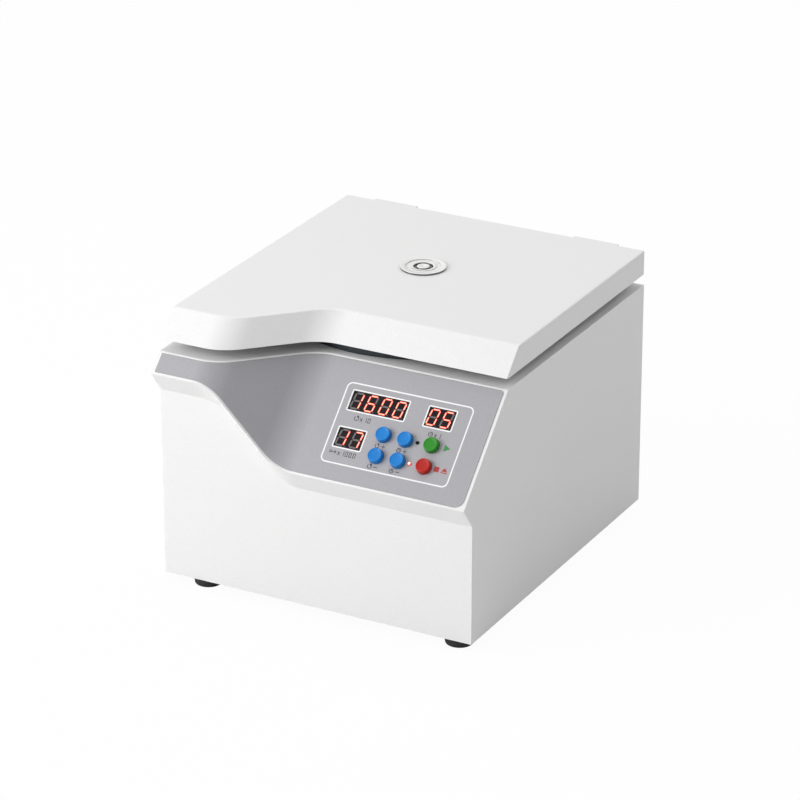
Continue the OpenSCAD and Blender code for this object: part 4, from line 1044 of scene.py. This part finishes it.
def surfacePlace(origin, across, down):  # a flat place to print on, in mm
    out = down.cross(across).normalized()
    return lambda x, d, lift: origin + mm * (x * across + d * down + lift * out)


def numberWells():
    points = [v.co - rotorCentre for v in nodes["angle_rotor"].data.vertices]
    reach = max(p.xy.length for p in points)
    rimZ = max(p.z for p in points if p.xy.length > 0.8 * reach)
    rim = [p.xy.length for p in points if abs(p.z - rimZ) < 0.01 * mm and p.xy.length > 0.5 * reach]
    middle, size = (min(rim) + max(rim)) / 2, min(wellNumbers["height"], 0.6 * (max(rim) - min(rim)) / mm)

    def build(working):
        for i in range(wellNumbers["count"]):
            a = math.radians(360 / wellNumbers["count"] * i)
            along = Vector((math.cos(a), math.sin(a), 0))
            place = surfacePlace(rotorCentre + along * middle + upAxis * rimZ, along.cross(upAxis), -along)
            text = str(i + 1)
            width = figureShape["width"] * (1 + figureShape["pitch"] * (len(text) - 1)) * size
            ink = (place, wellNumbers["sunk"], wellNumbers["lift"])
            numberIcon(working, text, -width / 2, -size / 2, size, ink)

    addPiece("wellNumbers", meshFrom("wellNumbers", build), "darkInk", "spindle")


def markRocker():
    halves = {}
    for face in nodes["power_rocker"].data.polygons:
        if face.normal.y > 0.8:
            halves.setdefault(round(face.normal.z, 2), []).append(face)
    halves = sorted(halves.values(), key=lambda faces: faces[0].center.z)
    size = rockerMarks["height"]

    def build(working):
        for faces, ring in zip((halves[0], halves[-1]), (True, False)):
            area = sum(face.area for face in faces)
            centre = sum((face.center * face.area for face in faces), Vector()) / area
            across = Vector((-1, 0, 0))
            place = surfacePlace(centre, across, across.cross(faces[0].normal))
            points = arcPoints(0, 0, size / 2, 0, 360) if ring else [(0, -size / 2), (0, size / 2)]
            addStroke(working, points, rockerMarks["stroke"], (place, rockerMarks["sunk"], rockerMarks["lift"]))

    addPiece("rockerMarks", meshFrom("rockerMarks", build), "whiteInk", "power_rocker")


numberWells()
markRocker()
print("numbers and marks made")


stageLook = {"floor": 0.82, "seenWhite": 0.96, "size": 6.0, "aim": (0, 0, 0.12)}
lightSet = {
    "key": {"place": (-1.7, -1.73, 1.2), "size": 1.5, "power": 45.0},
    "top": {"place": (-0.2, 0.5, 2.4), "size": 2.0, "power": 13.0},
    "back": {"place": (1.2, 2.0, 1.6), "size": 0.6, "power": 7.0},
}
skyLook = {"bright": 0.625, "dark": 0.32, "towards": (-0.6, 0.2, 0.75), "span": (-0.6, 0.9)}


def makeFloor():
    size = stageLook["size"]
    mesh = bpy.data.meshes.new("floor")
    mesh.from_pydata([(-size, -size, 0), (size, -size, 0), (size, size, 0), (-size, size, 0)], [], [(0, 1, 2, 3)])
    made, tree, shader = startFinish("floorWhite", 0.9, 0.0, 0.0)
    shader.inputs["Base Color"].default_value = (stageLook["floor"],) * 3 + (1,)
    white = nodeOn(tree, "ShaderNodeEmission", {"Color": (1, 1, 1, 1)})
    path = tree.nodes.new("ShaderNodeLightPath")
    share = nodeOn(tree, "ShaderNodeMath", {0: path.outputs["Is Camera Ray"], 1: stageLook["seenWhite"]})
    share.operation = "MULTIPLY"
    mixed = nodeOn(tree, "ShaderNodeMixShader", {"Fac": share.outputs["Value"], 1: shader.outputs["BSDF"],
                                                 2: white.outputs["Emission"]})
    tree.links.new(mixed.outputs["Shader"], tree.nodes["Material Output"].inputs["Surface"])
    mesh.materials.append(made)
    floor = newObject("floor", mesh)


def makeLights():
    for name, look in lightSet.items():
        data = bpy.data.lights.new(name, "AREA")
        data.shape = "SQUARE"
        data.size = look["size"]
        data.energy = look["power"]
        lamp = newObject(name, data)
        lamp.location = look["place"]
        aim = Vector(stageLook["aim"]) - lamp.location
        lamp.rotation_mode = "QUATERNION"
        lamp.rotation_quaternion = aim.to_track_quat("-Z", "Y")
        lamp.visible_camera = False


def makeSky():
    world = bpy.data.worlds.new("studio")
    bpy.context.scene.world = world
    world.use_nodes = True
    tree = world.node_tree
    tree.nodes.clear()
    coords = tree.nodes.new("ShaderNodeTexCoord")
    facing = nodeOn(tree, "ShaderNodeVectorMath", {0: coords.outputs["Generated"],
                                                   1: Vector(skyLook["towards"]).normalized()})
    facing.operation = "DOT_PRODUCT"
    strength = rangeOn(tree, facing.outputs["Value"], skyLook["dark"], skyLook["bright"], *skyLook["span"])
    light, seen = [nodeOn(tree, "ShaderNodeBackground", {"Color": (1, 1, 1, 1), "Strength": power})
                   for power in (strength, 1.0)]
    path = tree.nodes.new("ShaderNodeLightPath").outputs
    anyOf = nodeOn(tree, "ShaderNodeMath", {0: path["Is Camera Ray"], 1: path["Is Transmission Ray"]})
    anyOf.operation = "MAXIMUM"
    mixed = nodeOn(tree, "ShaderNodeMixShader", {"Fac": anyOf.outputs["Value"], 1: light.outputs["Background"],
                                                 2: seen.outputs["Background"]})
    nodeOn(tree, "ShaderNodeOutputWorld", {"Surface": mixed.outputs["Shader"]})


makeFloor()
makeLights()
makeSky()
bpy.context.scene.view_settings.view_transform = "Standard"
print("stage and light ready")
